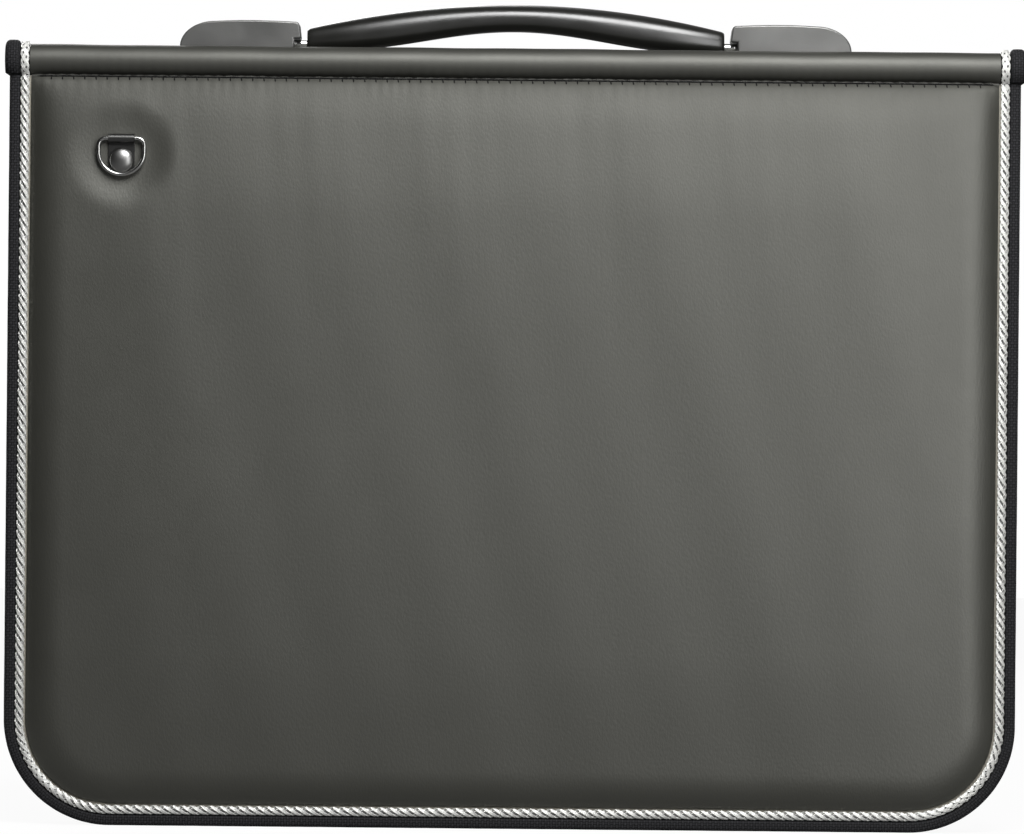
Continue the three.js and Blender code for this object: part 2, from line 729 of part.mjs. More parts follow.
// Ring mechanism: a rail riveted to the spine, two swinging carriers under its rib, a half
// ring of each pair on either carrier, and a lever between the ears at each end of the rail.
function addRingMechanism() {
  const railEnd = ringSpan / 2 + railOverhang;
  const ribEnd = railRivetPlaces()[1] - rivetHeadRadius - railRibEndGap;
  const earCentre = railEnd - earInset - earLength / 2;
  const leverHeight = railBottom - leverDrop;
  const earFace = leverWidth / 2 + seat;
  const railTop = railBottom + railThickness;
  const plate = block(-railEnd, railEnd, -railWidth / 2, railWidth / 2, railBottom, railTop);
  const rib = block(-ribEnd, ribEnd, -railRibWidth / 2, railRibWidth / 2,
    carrierTop + seat, railBottom + joinDepth);
  const ears = [-1, 1].flatMap((end) => [-1, 1].map((edge) => {
    const [x0, x1] = [end * earCentre - earLength / 2, end * earCentre + earLength / 2];
    const faces = [edge * earFace, edge * (earFace + earThickness)].sort((a, b) => a - b);
    return block(x0, x1, ...faces, leverHeight - leverPinRadius - earEdge, railBottom + joinDepth);
  }));
  const pinHoles = [-1, 1].map((end) =>
    rod("y", leverPinRadius + seat, -railWidth, railWidth, [end * earCentre, leverHeight], pinSides));
  const rivetHoles = railRivetPlaces().map((x) =>
    rod("z", rivetShankRadius + seat, railBottom - cutPast, railTop + cutPast, [x, 0]));
  add("ring_rail", cut(join(plate, rib, ...ears), ...pinHoles, ...rivetHoles), "steel");

  for (const [side, x] of [["left", railRivetPlaces()[0]], ["right", railRivetPlaces()[1]]]) {
    const headTop = railBottom - seat;
    const head = rod("z", rivetHeadRadius, headTop - rivetHeadHeight, headTop, [x, 0]);
    const shank = rod("z", rivetShankRadius, headTop - joinDepth, spineBoardTop - seat, [x, 0]);
    add(`${side}_rail_rivet`, join(head, shank), "steel");
  }

  for (const [side, end] of [["left", -1], ["right", 1]]) {
    const span = toSide(end, earCentre - leverToe, earCentre + leverLength);
    const blade = block(...span, -leverWidth / 2, leverWidth / 2,
      leverHeight - leverThickness / 2, leverHeight + leverThickness / 2);
    const reach = earFace + earThickness;
    const pin = rod("y", leverPinRadius, -reach, reach, [end * earCentre, leverHeight], pinSides);
    add(`${side}_ring_lever`, join(blade, pin), "steel");
  }

  const carrierEnd = ringSpan / 2 + carrierOverhang;
  for (const [side, sign] of [["front", -1], ["back", 1]]) {
    const edges = toSide(sign, carrierCentreGap, carrierReach);
    add(`${side}_ring_carrier`, block(-carrierEnd, carrierEnd, ...edges, carrierBottom, carrierTop), "steel");
    for (let i = 0; i < ringCount; i++) {
      add(`${side}_half_ring_${i + 1}`, halfRing(i * ringPitch - ringSpan / 2, sign), "steel");
    }
  }
}

// Half ring: a straight leg down from its carrier and a quarter circle to the middle.
function halfRing(x, sign) {
  const tip = Math.asin(ringTipGap / ringRadius);
  const legs = [ringTop, ringTop - ringStraight / 2];
  const curve = arc([0, ringHeight], [ringRadius, ringRadius], 0, -Math.PI / 2 + tip, ringSteps);
  const centres = [
    ...legs.map((z) => ({ y: ringRadius, z, out: [1, 0] })),
    ...curve.map(([y, z]) => ({ y, z, out: [y / ringRadius, (z - ringHeight) / ringRadius] })),
  ];
  const rings = centres.map(({ y, z, out }) => Array.from({ length: wireSides }, (_, i) => {
    const angle = (2 * Math.PI * (i + 0.5)) / wireSides;
    const [across, outward] = [ringWireRadius * Math.cos(angle), ringWireRadius * Math.sin(angle)];
    return [x + across, sign * (y + outward * out[0]), z + outward * out[1]];
  }));
  return loft(rings);
}

// Leaves: clear sleeves with their inserts, half of them on each side of the middle.
function addLeaves() {
  const ringPlaces = Array.from({ length: ringCount }, (_, i) => i * ringPitch - ringSpan / 2);
  for (const [side, sign] of [["front", -1], ["back", 1]]) {
    for (let n = 0; n < leavesPerSide; n++) {
      const middle = sign * (leafSpacing + sleeveThickness / 2 + n * (sleeveThickness + leafSpacing));
      add(`${side}_sleeve_${n + 1}`, sleeve(middle, ringPlaces), "film");
      const insert = block(-insertWidth / 2, insertWidth / 2,
        middle - insertThickness / 2, middle + insertThickness / 2, insertBottom, insertTop);
      add(`${side}_insert_${n + 1}`, insert, "card");
    }
  }
}

// Clear sleeve: two films joined at the bottom, the left and the punched top, open at the right.
function sleeve(middle, ringPlaces) {
  const half = sleeveWidth / 2;
  const r = sleeveCornerRadius;
  const outline = [
    [half, sleeveTop], [-half, sleeveTop],
    ...arc([-half + r, bottomMargin + r], [r, r], Math.PI, Math.PI * 1.5, sleeveCornerSteps),
    ...arc([half - r, bottomMargin + r], [r, r], Math.PI * 1.5, Math.PI * 2, sleeveCornerSteps),
  ];
  const sheet = alongY(outline, middle - sleeveThickness / 2, middle + sleeveThickness / 2);
  const depth = insertThickness / 2 + seat;
  const pocket = block(-insertWidth / 2 - seat, half + cutPast,
    middle - depth, middle + depth, insertBottom - seat, pocketTop);
  const holes = ringPlaces.map((x) =>
    rod("y", holeRadius, middle - sleeveThickness, middle + sleeveThickness, [x, holeHeight], pinSides));
  return cut(sheet, pocket, ...holes);
}

// Zip slider: a plate over the teeth with a bridge, and the pull tab that hangs in the bridge.
function addSlider(side, sign) {
  const face = halfCase - bindingWidth + seat;
  const level = hingeHeight - sliderBelowHinge;
  const plateFace = face + sliderPlate;
  const bridgeTop = plateFace + sliderBridgeRise + seat;
  const half = sliderBridgeLength / 2;
  const y = sliderBridgeWidth / 2;
  const across = (from, to) => toSide(sign, from, to);
  const [low, high] = [level - sliderLength / 2, level + sliderLength / 2];
  const plate = alongY([
    [face, low], [plateFace, low + sliderChamfer], [plateFace, high - sliderChamfer], [face, high],
  ].map(([x, z]) => [sign * x, z]), -sliderWidth / 2, sliderWidth / 2);
  const feet = [-half, half - sliderBridgeWire].map((z) =>
    block(...across(plateFace - joinDepth, bridgeTop), -y, y, level + z, level + z + sliderBridgeWire));
  const bar = block(...across(bridgeTop - sliderBridgeWire, bridgeTop), -y, y, level - half, level + half);
  add(`${side}_zip_slider`, join(plate, ...feet, bar), "steel");

  const tabFace = plateFace + seat;
  const axisLevel = level - pullerAxisDrop;
  const outer = block(...across(tabFace, tabFace + pullerThickness), -pullerWidth / 2, pullerWidth / 2,
    axisLevel - pullerLength, axisLevel + pullerThickness / 2);
  const slotHalf = y + seat;
  const eye = block(...across(tabFace - cutPast, tabFace + pullerThickness + cutPast), -slotHalf, slotHalf,
    axisLevel - pullerSlot, axisLevel - pullerThickness / 2);
  add(`${side}_zip_puller`, cut(outer, eye), "steel");
}

addCover("front", 0);
addCover("back", Math.PI);
addSpine();
addHandle();
addRingMechanism();
addLeaves();
addSlider("left", -1);
addSlider("right", 1);
export default assembly;
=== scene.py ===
# %% [markdown]
# A presentation display case stands on its bottom edge, closed. Two stiff covers hang from a
# padded spine with two rolls. A zip closes the other three sides, a silver plaited cord runs
# round each cover, and a moulded grip turns on pins in two lugs on the spine.
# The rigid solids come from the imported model. Everything soft, woven or round is built here
# again in finer form, on the same millimetre sizes, and replaces its plain solid.

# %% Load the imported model
import math

import bpy
import numpy as np
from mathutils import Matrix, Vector


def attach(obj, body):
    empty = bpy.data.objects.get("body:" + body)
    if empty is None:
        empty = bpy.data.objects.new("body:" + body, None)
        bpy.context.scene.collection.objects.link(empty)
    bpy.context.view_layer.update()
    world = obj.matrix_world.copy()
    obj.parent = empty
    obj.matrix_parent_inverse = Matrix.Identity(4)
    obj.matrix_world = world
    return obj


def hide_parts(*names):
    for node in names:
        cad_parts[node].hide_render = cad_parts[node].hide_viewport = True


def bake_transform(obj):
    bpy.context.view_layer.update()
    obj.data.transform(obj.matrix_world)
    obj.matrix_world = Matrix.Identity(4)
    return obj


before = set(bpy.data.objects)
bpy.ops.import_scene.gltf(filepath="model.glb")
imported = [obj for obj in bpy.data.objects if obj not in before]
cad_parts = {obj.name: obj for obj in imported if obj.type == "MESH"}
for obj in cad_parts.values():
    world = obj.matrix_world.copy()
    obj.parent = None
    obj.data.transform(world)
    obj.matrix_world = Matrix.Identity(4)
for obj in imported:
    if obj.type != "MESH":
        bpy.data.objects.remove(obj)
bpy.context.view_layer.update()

# %% [markdown]
# The camera stands square in front of the case, at the height of its middle, because the
# photograph shows both sides with the same width. The whole picture is turned a little, so the
# camera is rolled by the same angle. A long lens from three metres away gives the same flat look.

# %% Camera
MM = 0.001
X_AXIS, Y_AXIS, Z_AXIS = np.eye(3)
PICTURE_WIDTH = 1024
MM_PER_PIXEL = 0.4557
FRONT_PLANE = -18.0
CAMERA_DISTANCE = 3000.0
CAMERA_AIM = (-0.1, 187.8)
CAMERA_ROLL = 0.55
SENSOR_WIDTH = 36.0
NEAREST_SEEN, FARTHEST_SEEN = 0.05, 50.0

camera_data = bpy.data.cameras.new("camera")
camera_data.sensor_width = SENSOR_WIDTH
camera_data.lens = SENSOR_WIDTH * CAMERA_DISTANCE / (PICTURE_WIDTH * MM_PER_PIXEL)
camera_data.clip_start = NEAREST_SEEN
camera_data.clip_end = FARTHEST_SEEN
camera = bpy.data.objects.new("camera", camera_data)
camera.location = (CAMERA_AIM[0] * MM, (FRONT_PLANE - CAMERA_DISTANCE) * MM, CAMERA_AIM[1] * MM)
camera.rotation_euler = (math.pi / 2, -math.radians(CAMERA_ROLL), 0)
bpy.context.scene.collection.objects.link(camera)
bpy.context.scene.camera = camera
print("lens:", round(camera_data.lens, 1), "mm")

# %% [markdown]
# Every shape below is an array of points on a grid. These helpers lay points round and along a
# line, join a grid into quads, close its ends, and hand it to Blender. Points are in millimetres
# here and in metres in the mesh.
# The volume inside a closed skin tells whether its faces point outwards, so a skin that came out
# inside out is flipped as a whole.

# %% Helpers that turn arrays into meshes
SHARP_EDGE = 45.0
BEVELLED_EDGE = 30.0


def grid_faces(rows, columns, loop_rows=False, loop_columns=True):
    """Quads between neighbouring rows and columns of points that are numbered along the columns."""
    row, column = np.meshgrid(np.arange(rows if loop_rows else rows - 1),
                              np.arange(columns if loop_columns else columns - 1), indexing="ij")
    row, column = row.ravel(), column.ravel()
    next_row, next_column = (row + 1) % rows, (column + 1) % columns
    return np.stack([row * columns + column, row * columns + next_column,
                     next_row * columns + next_column, next_row * columns + column], axis=1)


def make_piece(name, points, faces, material, body, replaces=(), uv=None):
    """Makes a mesh object at the origin, faces outwards, smooth apart from edges over an angle."""
    mesh = bpy.data.meshes.new(name)
    mesh.from_pydata((np.asarray(points).reshape(-1, 3) * MM).tolist(), [], faces)
    if uv is not None:
        layer = mesh.uv_layers.new(name="along")
        layer.data.foreach_set("uv", np.asarray(uv, np.float32).ravel())
    mesh.calc_loop_triangles()
    corners = np.empty(len(mesh.loop_triangles) * 3, int)
    mesh.loop_triangles.foreach_get("vertices", corners)
    a, b, c = np.asarray(points).reshape(-1, 3)[corners.reshape(-1, 3)].transpose(1, 0, 2)
    if np.einsum("ij,ij->", a, np.cross(b, c)) < 0:
        mesh.flip_normals()
    mesh.shade_smooth()
    mesh.set_sharp_from_angle(angle=math.radians(SHARP_EDGE))
    mesh.materials.append(material)
    piece = bpy.data.objects.new(name, mesh)
    bpy.context.scene.collection.objects.link(piece)
    if body:
        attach(piece, body)
    if replaces:
        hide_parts(*replaces)
    return piece


def circle(count):
    """Cosines and sines of even angles round a full turn."""
    angle = np.linspace(0, 2 * math.pi, count, endpoint=False)
    return np.cos(angle), np.sin(angle)


def squared_circle(power, count):
    """A circle's cosines and sines with their size raised to a power under 1, which squares it."""
    return tuple(np.sign(part) * np.abs(part) ** power for part in circle(count))


def tube(centre, across, outward, half_width, half_depth, sides):
    """Rings round a line of points: centre + across a cos(t) + outward b sin(t)."""
    cosine, sine = circle(sides)
    across, outward = np.broadcast_to(across, centre.shape), np.broadcast_to(outward, centre.shape)
    rings = centre[:, None] + across[:, None] * (half_width * cosine)[None, :, None]
    return rings + outward[:, None] * (half_depth * sine)[None, :, None]


def carried_along_x(places, sections):
    """Rings of (y, z) sections at their places on X; a single section serves for all places."""
    sections = np.broadcast_to(sections, (len(places), *np.shape(sections)[-2:]))
    x = np.broadcast_to(np.asarray(places)[:, None, None], (*sections.shape[:2], 1))
    return np.concatenate([x, sections], 2)


def walked_along(line):
    """Distance from a line's first point to each of its points, summed step by step."""
    return np.append(0, np.cumsum(np.linalg.norm(np.diff(line, axis=0), axis=1)))


def points_at(line, own_places, places):
    """Points of a (y, z) line at other places, by straight interpolation between its own."""
    return np.stack([np.interp(places, own_places, line[:, axis]) for axis in (0, 1)], 1)


def left_of(line):
    """Unit normals of a (y, z) line: its direction (dy, dz) turned to (-dz, dy)."""
    direction = np.gradient(line, axis=0)
    normal = np.stack([-direction[:, 1], direction[:, 0]], 1)
    return normal / np.linalg.norm(normal, axis=1, keepdims=True)


def skin(rings, loop=False, along=None):
    """Joins rings of points into a tube; an open one gets a flat face at either end. Gives the
    faces and, where the distance along each ring is known, a UV in metres for every corner."""
    rows, columns = rings.shape[:2]
    faces = grid_faces(rows, columns, loop_rows=loop).tolist()
    if not loop:
        faces += [list(range(columns))[::-1], list(range((rows - 1) * columns, rows * columns))]
    if along is None:
        return faces, None
    ring = rings[rows // 2]
    around = walked_along(np.vstack([ring, ring[:1]]))
    row, column = np.meshgrid(np.arange(rows - 1), np.arange(columns), indexing="ij")
    row, column = row.ravel(), column.ravel()
    u = np.stack([along[row], along[row], along[row + 1], along[row + 1]], 1)
    v = np.stack([around[column], around[column + 1], around[column + 1], around[column]], 1)
    uv = np.stack([u, v], 2).reshape(-1, 2)
    return faces, np.vstack([uv, np.zeros((2 * columns, 2))]) * MM


def bevelled(piece, width, steps=3):
    """Rounds the hard edges of a piece."""
    modifier = piece.modifiers.new("rounding", "BEVEL")
    modifier.width = width * MM
    modifier.segments = steps
    modifier.limit_method = "ANGLE"
    modifier.angle_limit = math.radians(BEVELLED_EDGE)
    return piece


def ease(value):
    """Rises from 0 to 1 with level ends."""
    t = np.clip(value, 0, 1)
    return t * t * (3 - 2 * t)


def waves(x, z, seed, lengths, strength):
    """Sum of a few slow sine ripples with seeded directions and phases; strength is its reach."""
    random = np.random.default_rng(seed)
    total = 0
    for length in lengths:
        turn, phase = random.uniform(0, math.pi), random.uniform(0, 2 * math.pi)
        total = total + np.sin(2 * math.pi * (x * math.cos(turn) + z * math.sin(turn)) / length + phase)
    return strength * total / len(lengths)

# %% [markdown]
# Materials are built from a few shared effects: the pebbled grain of leatherette, the threads of
# a woven tape, fine moulding texture, and the faint unevenness that handling leaves. Each effect
# is a node group that reads Object coordinates, or the piece's own UV where it follows a tape.

# %% Helpers for node trees
def new_group(name, inputs, outputs):
    """Makes a shader node group with named sockets and gives its tree and its two end nodes."""
    group = bpy.data.node_groups.new(name, "ShaderNodeTree")
    for label, kind, value in inputs:
        socket = group.interface.new_socket(name=label, in_out="INPUT", socket_type=kind)
        socket.default_value = value
    for label, kind in outputs:
        group.interface.new_socket(name=label, in_out="OUTPUT", socket_type=kind)
    return group, group.nodes.new("NodeGroupInput"), group.nodes.new("NodeGroupOutput")


def feed(tree, value, socket):
    """Links a socket to another one, or sets it to a plain number."""
    if isinstance(value, (int, float)):
        socket.default_value = value
    else:
        tree.links.new(value, socket)


def math_node(tree, operation, first, second=None, third=None):
    """A Math node whose inputs are sockets or plain numbers."""
    node = tree.nodes.new("ShaderNodeMath")
    node.operation = operation
    for socket, value in zip(node.inputs, (first, second, third)):
        if value is not None:
            feed(tree, value, socket)
    return node.outputs[0]


def object_place(tree):
    """Object coordinates, in metres."""
    return tree.nodes.new("ShaderNodeTexCoord").outputs["Object"]


def noise_node(tree, scale, detail=3.0, distortion=0.0, vector=None):
    """A Noise Texture, on Object coordinates unless others are given; it is 0.5 on average."""
    node = tree.nodes.new("ShaderNodeTexNoise")
    feed(tree, scale, node.inputs["Scale"])
    node.inputs["Detail"].default_value = detail
    node.inputs["Distortion"].default_value = distortion
    place = object_place(tree) if vector is None else vector
    tree.links.new(place, node.inputs["Vector"])
    return node.outputs["Fac"]


def piece_uv(tree):
    """The two parts of the piece's own UV, in metres: along it and across it."""
    uv = tree.nodes.new("ShaderNodeUVMap")
    uv.uv_map = "along"
    parts = tree.nodes.new("ShaderNodeSeparateXYZ")
    tree.links.new(uv.outputs["UV"], parts.inputs[0])
    return parts.outputs["X"], parts.outputs["Y"]


def stretched(tree, vector, scale):
    """Coordinates multiplied by a different number along each axis."""
    node = tree.nodes.new("ShaderNodeVectorMath")
    node.operation = "MULTIPLY"
    node.inputs[1].default_value = scale
    tree.links.new(vector, node.inputs[0])
    return node.outputs[0]


FLOAT = "NodeSocketFloat"

# %% [markdown]
# Leatherette is a vinyl skin embossed with small pebbles. The roll of material is stretched as it
# is laid, so the pebbles are longer one way and faint streaks run up the covers.

# %% Leather grain
PEBBLE_STRETCH = (1.0, 1.0, 0.55)
STREAK_STRETCH = (1.0, 1.0, 0.16)
PEBBLE_SMOOTHNESS = 0.6
FINE_SHARE = 0.35
STREAK_SHARE = 0.6


def grain_group():
    """Height of the embossed pebbles, and a mask of slow streaks in the colour."""
    inputs = [("Pebbles per metre", FLOAT, 900.0)]
    group, start, end = new_group("leather grain", inputs, [("Height", FLOAT), ("Streaks", FLOAT)])
    place = object_place(group)
    cells = group.nodes.new("ShaderNodeTexVoronoi")
    cells.feature = "SMOOTH_F1"
    cells.inputs["Smoothness"].default_value = PEBBLE_SMOOTHNESS
    group.links.new(stretched(group, place, PEBBLE_STRETCH), cells.inputs["Vector"])
    group.links.new(start.outputs["Pebbles per metre"], cells.inputs["Scale"])
    fine = noise_node(group, scale=2600.0, detail=2.0)
    height = math_node(group, "MULTIPLY_ADD", fine, FINE_SHARE, cells.outputs["Distance"])
    group.links.new(math_node(group, "SUBTRACT", 1.0, height), end.inputs["Height"])
    streak = noise_node(group, scale=700.0, vector=stretched(group, place, STREAK_STRETCH))
    slow = math_node(group, "MULTIPLY", noise_node(group, scale=9.0, detail=2.0), 1 - STREAK_SHARE)
    mixed = math_node(group, "MULTIPLY_ADD", streak, STREAK_SHARE, slow)
    group.links.new(mixed, end.inputs["Streaks"])
    return group

# %% [markdown]
# Woven tape: warp and weft threads cross over each other in turn. Along each thread the height
# follows a sine, and a checker of the two directions decides which thread lies on top. The same
# height sets the colour too, as painted shade: the gaps between threads are darker.

# %% Woven threads
def weave_group():
    """Height of the threads from the piece's own UV in metres, and a painted-shade mask, dark in the gaps.
    """
    inputs = [("Threads per metre", FLOAT, 1600.0), ("Warp share", FLOAT, 0.5)]
    group, start, end = new_group("woven threads", inputs, [("Height", FLOAT), ("Thread", FLOAT)])
    per_metre = start.outputs["Threads per metre"]
    along, across = (math_node(group, "MULTIPLY", part, per_metre) for part in piece_uv(group))
    wave = []
    for direction in (along, across):
        turned = math_node(group, "SINE", math_node(group, "MULTIPLY", direction, math.pi))
        wave.append(math_node(group, "ABSOLUTE", turned))
    both = math_node(group, "ADD", math_node(group, "FLOOR", along), math_node(group, "FLOOR", across))
    turn = math_node(group, "MODULO", math_node(group, "ABSOLUTE", both), 2.0)
    over = math_node(group, "MULTIPLY", wave[0], turn)
    under = math_node(group, "MULTIPLY", wave[1], math_node(group, "SUBTRACT", 1.0, turn))
    weft = math_node(group, "SUBTRACT", 1.0, start.outputs["Warp share"])
    lifted = math_node(group, "MULTIPLY", over, start.outputs["Warp share"])
    height = math_node(group, "MULTIPLY_ADD", under, weft, lifted)
    group.links.new(height, end.inputs["Height"])
    group.links.new(math_node(group, "MULTIPLY", height, 2.0), end.inputs["Thread"])
    return group

# %% [markdown]
# Moulded plastic has a spark-eroded texture, and every surface that is handled carries faint
# smears and scuffs. Both are noise at their own scale, so one group serves plastic and metal.

# %% Fine texture and handling marks
def texture_group():
    """Height of a fine moulded texture."""
    group, start, end = new_group("moulded texture", [("Grains per metre", FLOAT, 2400.0)],
                                  [("Height", FLOAT)])
    group.links.new(noise_node(group, start.outputs["Grains per metre"]), end.inputs["Height"])
    return group


def handling_group():
    """A value round the given middle that wanders by the given reach, slowly and in scuffs."""
    inputs = [("Middle", FLOAT, 0.4), ("Reach", FLOAT, 0.1), ("Marks per metre", FLOAT, 60.0)]
    group, start, end = new_group("handling marks", inputs, [("Value", FLOAT), ("Mask", FLOAT)])
    scuffs = noise_node(group, start.outputs["Marks per metre"], detail=5.0, distortion=0.6)
    centred = math_node(group, "SUBTRACT", scuffs, 0.5)
    swing = math_node(group, "MULTIPLY", math_node(group, "MULTIPLY", centred, 2.0), start.outputs["Reach"])
    group.links.new(math_node(group, "ADD", start.outputs["Middle"], swing), end.inputs["Value"])
    group.links.new(scuffs, end.inputs["Mask"])
    return group


LEATHER_GRAIN = grain_group()
WOVEN_THREADS = weave_group()
MOULDED_TEXTURE = texture_group()
HANDLING_MARKS = handling_group()
print("node groups:", [group.name for group in bpy.data.node_groups])

# %% [markdown]
# A finish is a Principled BSDF with plain values on its own sockets. The colour is mixed between
# a dark and a light tone by one of the masks, and a Bump node turns a height into a surface.

# %% Helpers for finishes
def use_group(tree, group, **values):
    """Places a group in a material with its own values; underscores stand for blanks."""
    node = tree.nodes.new("ShaderNodeGroup")
    node.node_tree = group
    for label, value in values.items():
        node.inputs[label.replace("_", " ").capitalize()].default_value = value
    return node


def new_finish(name, roughness, reach, metallic=0.0, **sockets):
    """A material whose roughness wanders by handling marks; other sockets are set as given."""
    material = bpy.data.materials.new(name)
    material.use_nodes = True
    tree = material.node_tree
    shader = tree.nodes["Principled BSDF"]
    shader.inputs["Metallic"].default_value = metallic
    for label, value in sockets.items():
        shader.inputs[label.replace("_", " ")].default_value = value
    marks = use_group(tree, HANDLING_MARKS, middle=roughness, reach=reach)
    tree.links.new(marks.outputs["Value"], shader.inputs["Roughness"])
    return material, tree, shader, marks


def tone(tree, shader, mask, dark, light):
    """Mixes the base colour between two tones by a mask."""
    ramp = tree.nodes.new("ShaderNodeMix")
    ramp.data_type = "RGBA"
    ramp.inputs["A"].default_value = (*dark, 1.0)
    ramp.inputs["B"].default_value = (*light, 1.0)
    tree.links.new(mask, ramp.inputs["Factor"])
    tree.links.new(ramp.outputs["Result"], shader.inputs["Base Color"])


def bump(tree, shader, height, depth):
    """Feeds a height into the normal; depth is the real height in millimetres."""
    node = tree.nodes.new("ShaderNodeBump")
    node.inputs["Distance"].default_value = depth * MM
    tree.links.new(height, node.inputs["Height"])
    tree.links.new(node.outputs["Normal"], shader.inputs["Normal"])

# %% [markdown]
# Leatherette: a dark warm grey skin, half matt. The same skin is smoother on the rolls, where it
# is pulled tight, and blacker on the inside of the case.

# %% Leatherette
SKIN_SHEEN = (1.0, 1.0, 0.93, 1.0)
SEAM_CREASING = "seam_creasing"
SEAM_DULLNESS = 0.42


def leatherette(name, dark, light, roughness, depth, pebbles):
    """Embossed vinyl skin, duller in the creases of the seam, shinier round the rim, where the
    case rubs; the attribute says how much of either."""
    material, tree, shader, marks = new_finish(name, roughness, reach=0.04, Specular_IOR_Level=1.0,
                                               Specular_Tint=SKIN_SHEEN)
    grain = use_group(tree, LEATHER_GRAIN, pebbles_per_metre=pebbles)
    tone(tree, shader, grain.outputs["Streaks"], dark, light)
    near = tree.nodes.new("ShaderNodeAttribute")
    near.attribute_name = SEAM_CREASING
    duller = math_node(tree, "MULTIPLY_ADD", near.outputs["Fac"], SEAM_DULLNESS, marks.outputs["Value"])
    tree.links.new(duller, shader.inputs["Roughness"])
    bump(tree, shader, grain.outputs["Height"], depth)
    return material


COVER_SKIN = leatherette("cover leatherette", (0.015, 0.015, 0.012), (0.021, 0.021, 0.017),
                         roughness=0.50, depth=0.036, pebbles=1250.0)
ROLL_SKIN = leatherette("roll leatherette", (0.010, 0.010, 0.008), (0.014, 0.014, 0.011),
                        roughness=0.56, depth=0.02, pebbles=1300.0)
LINING_SKIN = leatherette("lining leatherette", (0.010, 0.010, 0.010), (0.018, 0.018, 0.018),
                          roughness=0.6, depth=0.05, pebbles=1500.0)

# %% [markdown]
# Woven tape binds the edges and carries the zip: black yarn, dull, with every thread visible
# close to. The seam thread is the same yarn, twisted.

# %% Tapes and thread
def woven(name, dark, light, threads, warp, depth):
    """Black woven tape, its colour darker in the gaps between threads as painted shade."""
    material, tree, shader, _ = new_finish(name, roughness=0.85, reach=0.05, Specular_IOR_Level=0.1)
    weave = use_group(tree, WOVEN_THREADS, threads_per_metre=threads, warp_share=warp)
    # The thread mask paints shade: the gaps take the dark tone, the thread tops the light one.
    tone(tree, shader, weave.outputs["Thread"], dark, light)
    bump(tree, shader, weave.outputs["Height"], depth)
    return material


BINDING_TAPE = woven("binding tape", (0.001, 0.001, 0.001), (0.026, 0.026, 0.028),
                     threads=800.0, warp=0.6, depth=0.3)
ZIP_TAPE = woven("zip tape", (0.002, 0.002, 0.002), (0.012, 0.012, 0.013),
                 threads=2200.0, warp=0.4, depth=0.18)
# Near black, the seam thread also paints the shadow line under the roll and in the hollows of the gathers.
SEAM_THREAD_AND_SHADE = woven("seam thread", (0.002, 0.002, 0.002), (0.010, 0.010, 0.010),
                    threads=3000.0, warp=0.8, depth=0.1)

# %% [markdown]
# The plaited cord is metallised yarn: each strand is a bundle of fine flat filaments that run
# along it. Ridges across the strand's own UV give the filaments, and their height also paints
# shade into the colour, darker in the hollows between them.

# %% Metallised cord
def metal_yarn(name, dark, light, filaments):
    """Silver strand of parallel filaments, with painted shade in the hollows between them."""
    material, tree, shader, _ = new_finish(name, roughness=0.32, reach=0.05, metallic=0.4)
    _, across = piece_uv(tree)
    turns = math_node(tree, "MULTIPLY", across, filaments * 2 * math.pi)
    ridge = math_node(tree, "SINE", turns)
    height = math_node(tree, "MULTIPLY_ADD", ridge, 0.5, 0.5)
    # The ridge height also sets the colour: painted shade in the hollows, the light tone on the tops.
    tone(tree, shader, height, dark, light)
    bump(tree, shader, height, depth=0.03)
    return material


SILVER_YARN = metal_yarn("silver yarn", (0.60, 0.60, 0.58), (0.95, 0.95, 0.92), filaments=3200.0)
# The core's dark tone stands for the shade in the gaps between the strands: painted shade.
CORE_SHADE_YARN = metal_yarn("cord core shade", (0.05, 0.05, 0.048), (0.16, 0.16, 0.155), filaments=1450.0)

# %% [markdown]
# Plated steel, moulded plastic, card, board and clear film complete the set. The grip is polished
# and nearly black, the lugs carry a fine texture and look grey where light rakes over them.

# %% Metals, plastics, board and film
MARKED_SHARE = 0.8


def metal(name, colour, roughness, reach):
    """Plated or painted steel with faint handling marks."""
    material, tree, shader, marks = new_finish(name, roughness, reach, metallic=1.0)
    dark = tuple(MARKED_SHARE * channel for channel in colour)
    tone(tree, shader, marks.outputs["Mask"], dark, colour)
    fine = use_group(tree, MOULDED_TEXTURE, grains_per_metre=900.0)
    bump(tree, shader, fine.outputs["Height"], depth=0.01)
    return material


def plastic(name, dark, light, roughness, grains, depth, **sockets):
    """Moulded plastic with a fine texture."""
    material, tree, shader, marks = new_finish(name, roughness, reach=0.07, **sockets)
    tone(tree, shader, marks.outputs["Mask"], dark, light)
    fine = use_group(tree, MOULDED_TEXTURE, grains_per_metre=grains)
    bump(tree, shader, fine.outputs["Height"], depth)
    return material


def paper(name, dark, light, fibres, depth):
    """Pressed fibres: card or grey board."""
    material, tree, shader, _ = new_finish(name, roughness=0.9, reach=0.05)
    fine = use_group(tree, MOULDED_TEXTURE, grains_per_metre=fibres)
    tone(tree, shader, fine.outputs["Height"], dark, light)
    bump(tree, shader, fine.outputs["Height"], depth)
    return material


def clear_film(name):
    """Clear plastic sheet with slow ripples."""
    material, tree, shader, _ = new_finish(name, roughness=0.08, reach=0.04,
                                           Transmission_Weight=0.9, IOR=1.2)
    slow = use_group(tree, MOULDED_TEXTURE, grains_per_metre=14.0)
    tone(tree, shader, slow.outputs["Height"], (0.86, 0.89, 0.90), (0.95, 0.97, 0.98))
    bump(tree, shader, slow.outputs["Height"], depth=0.8)
    return material


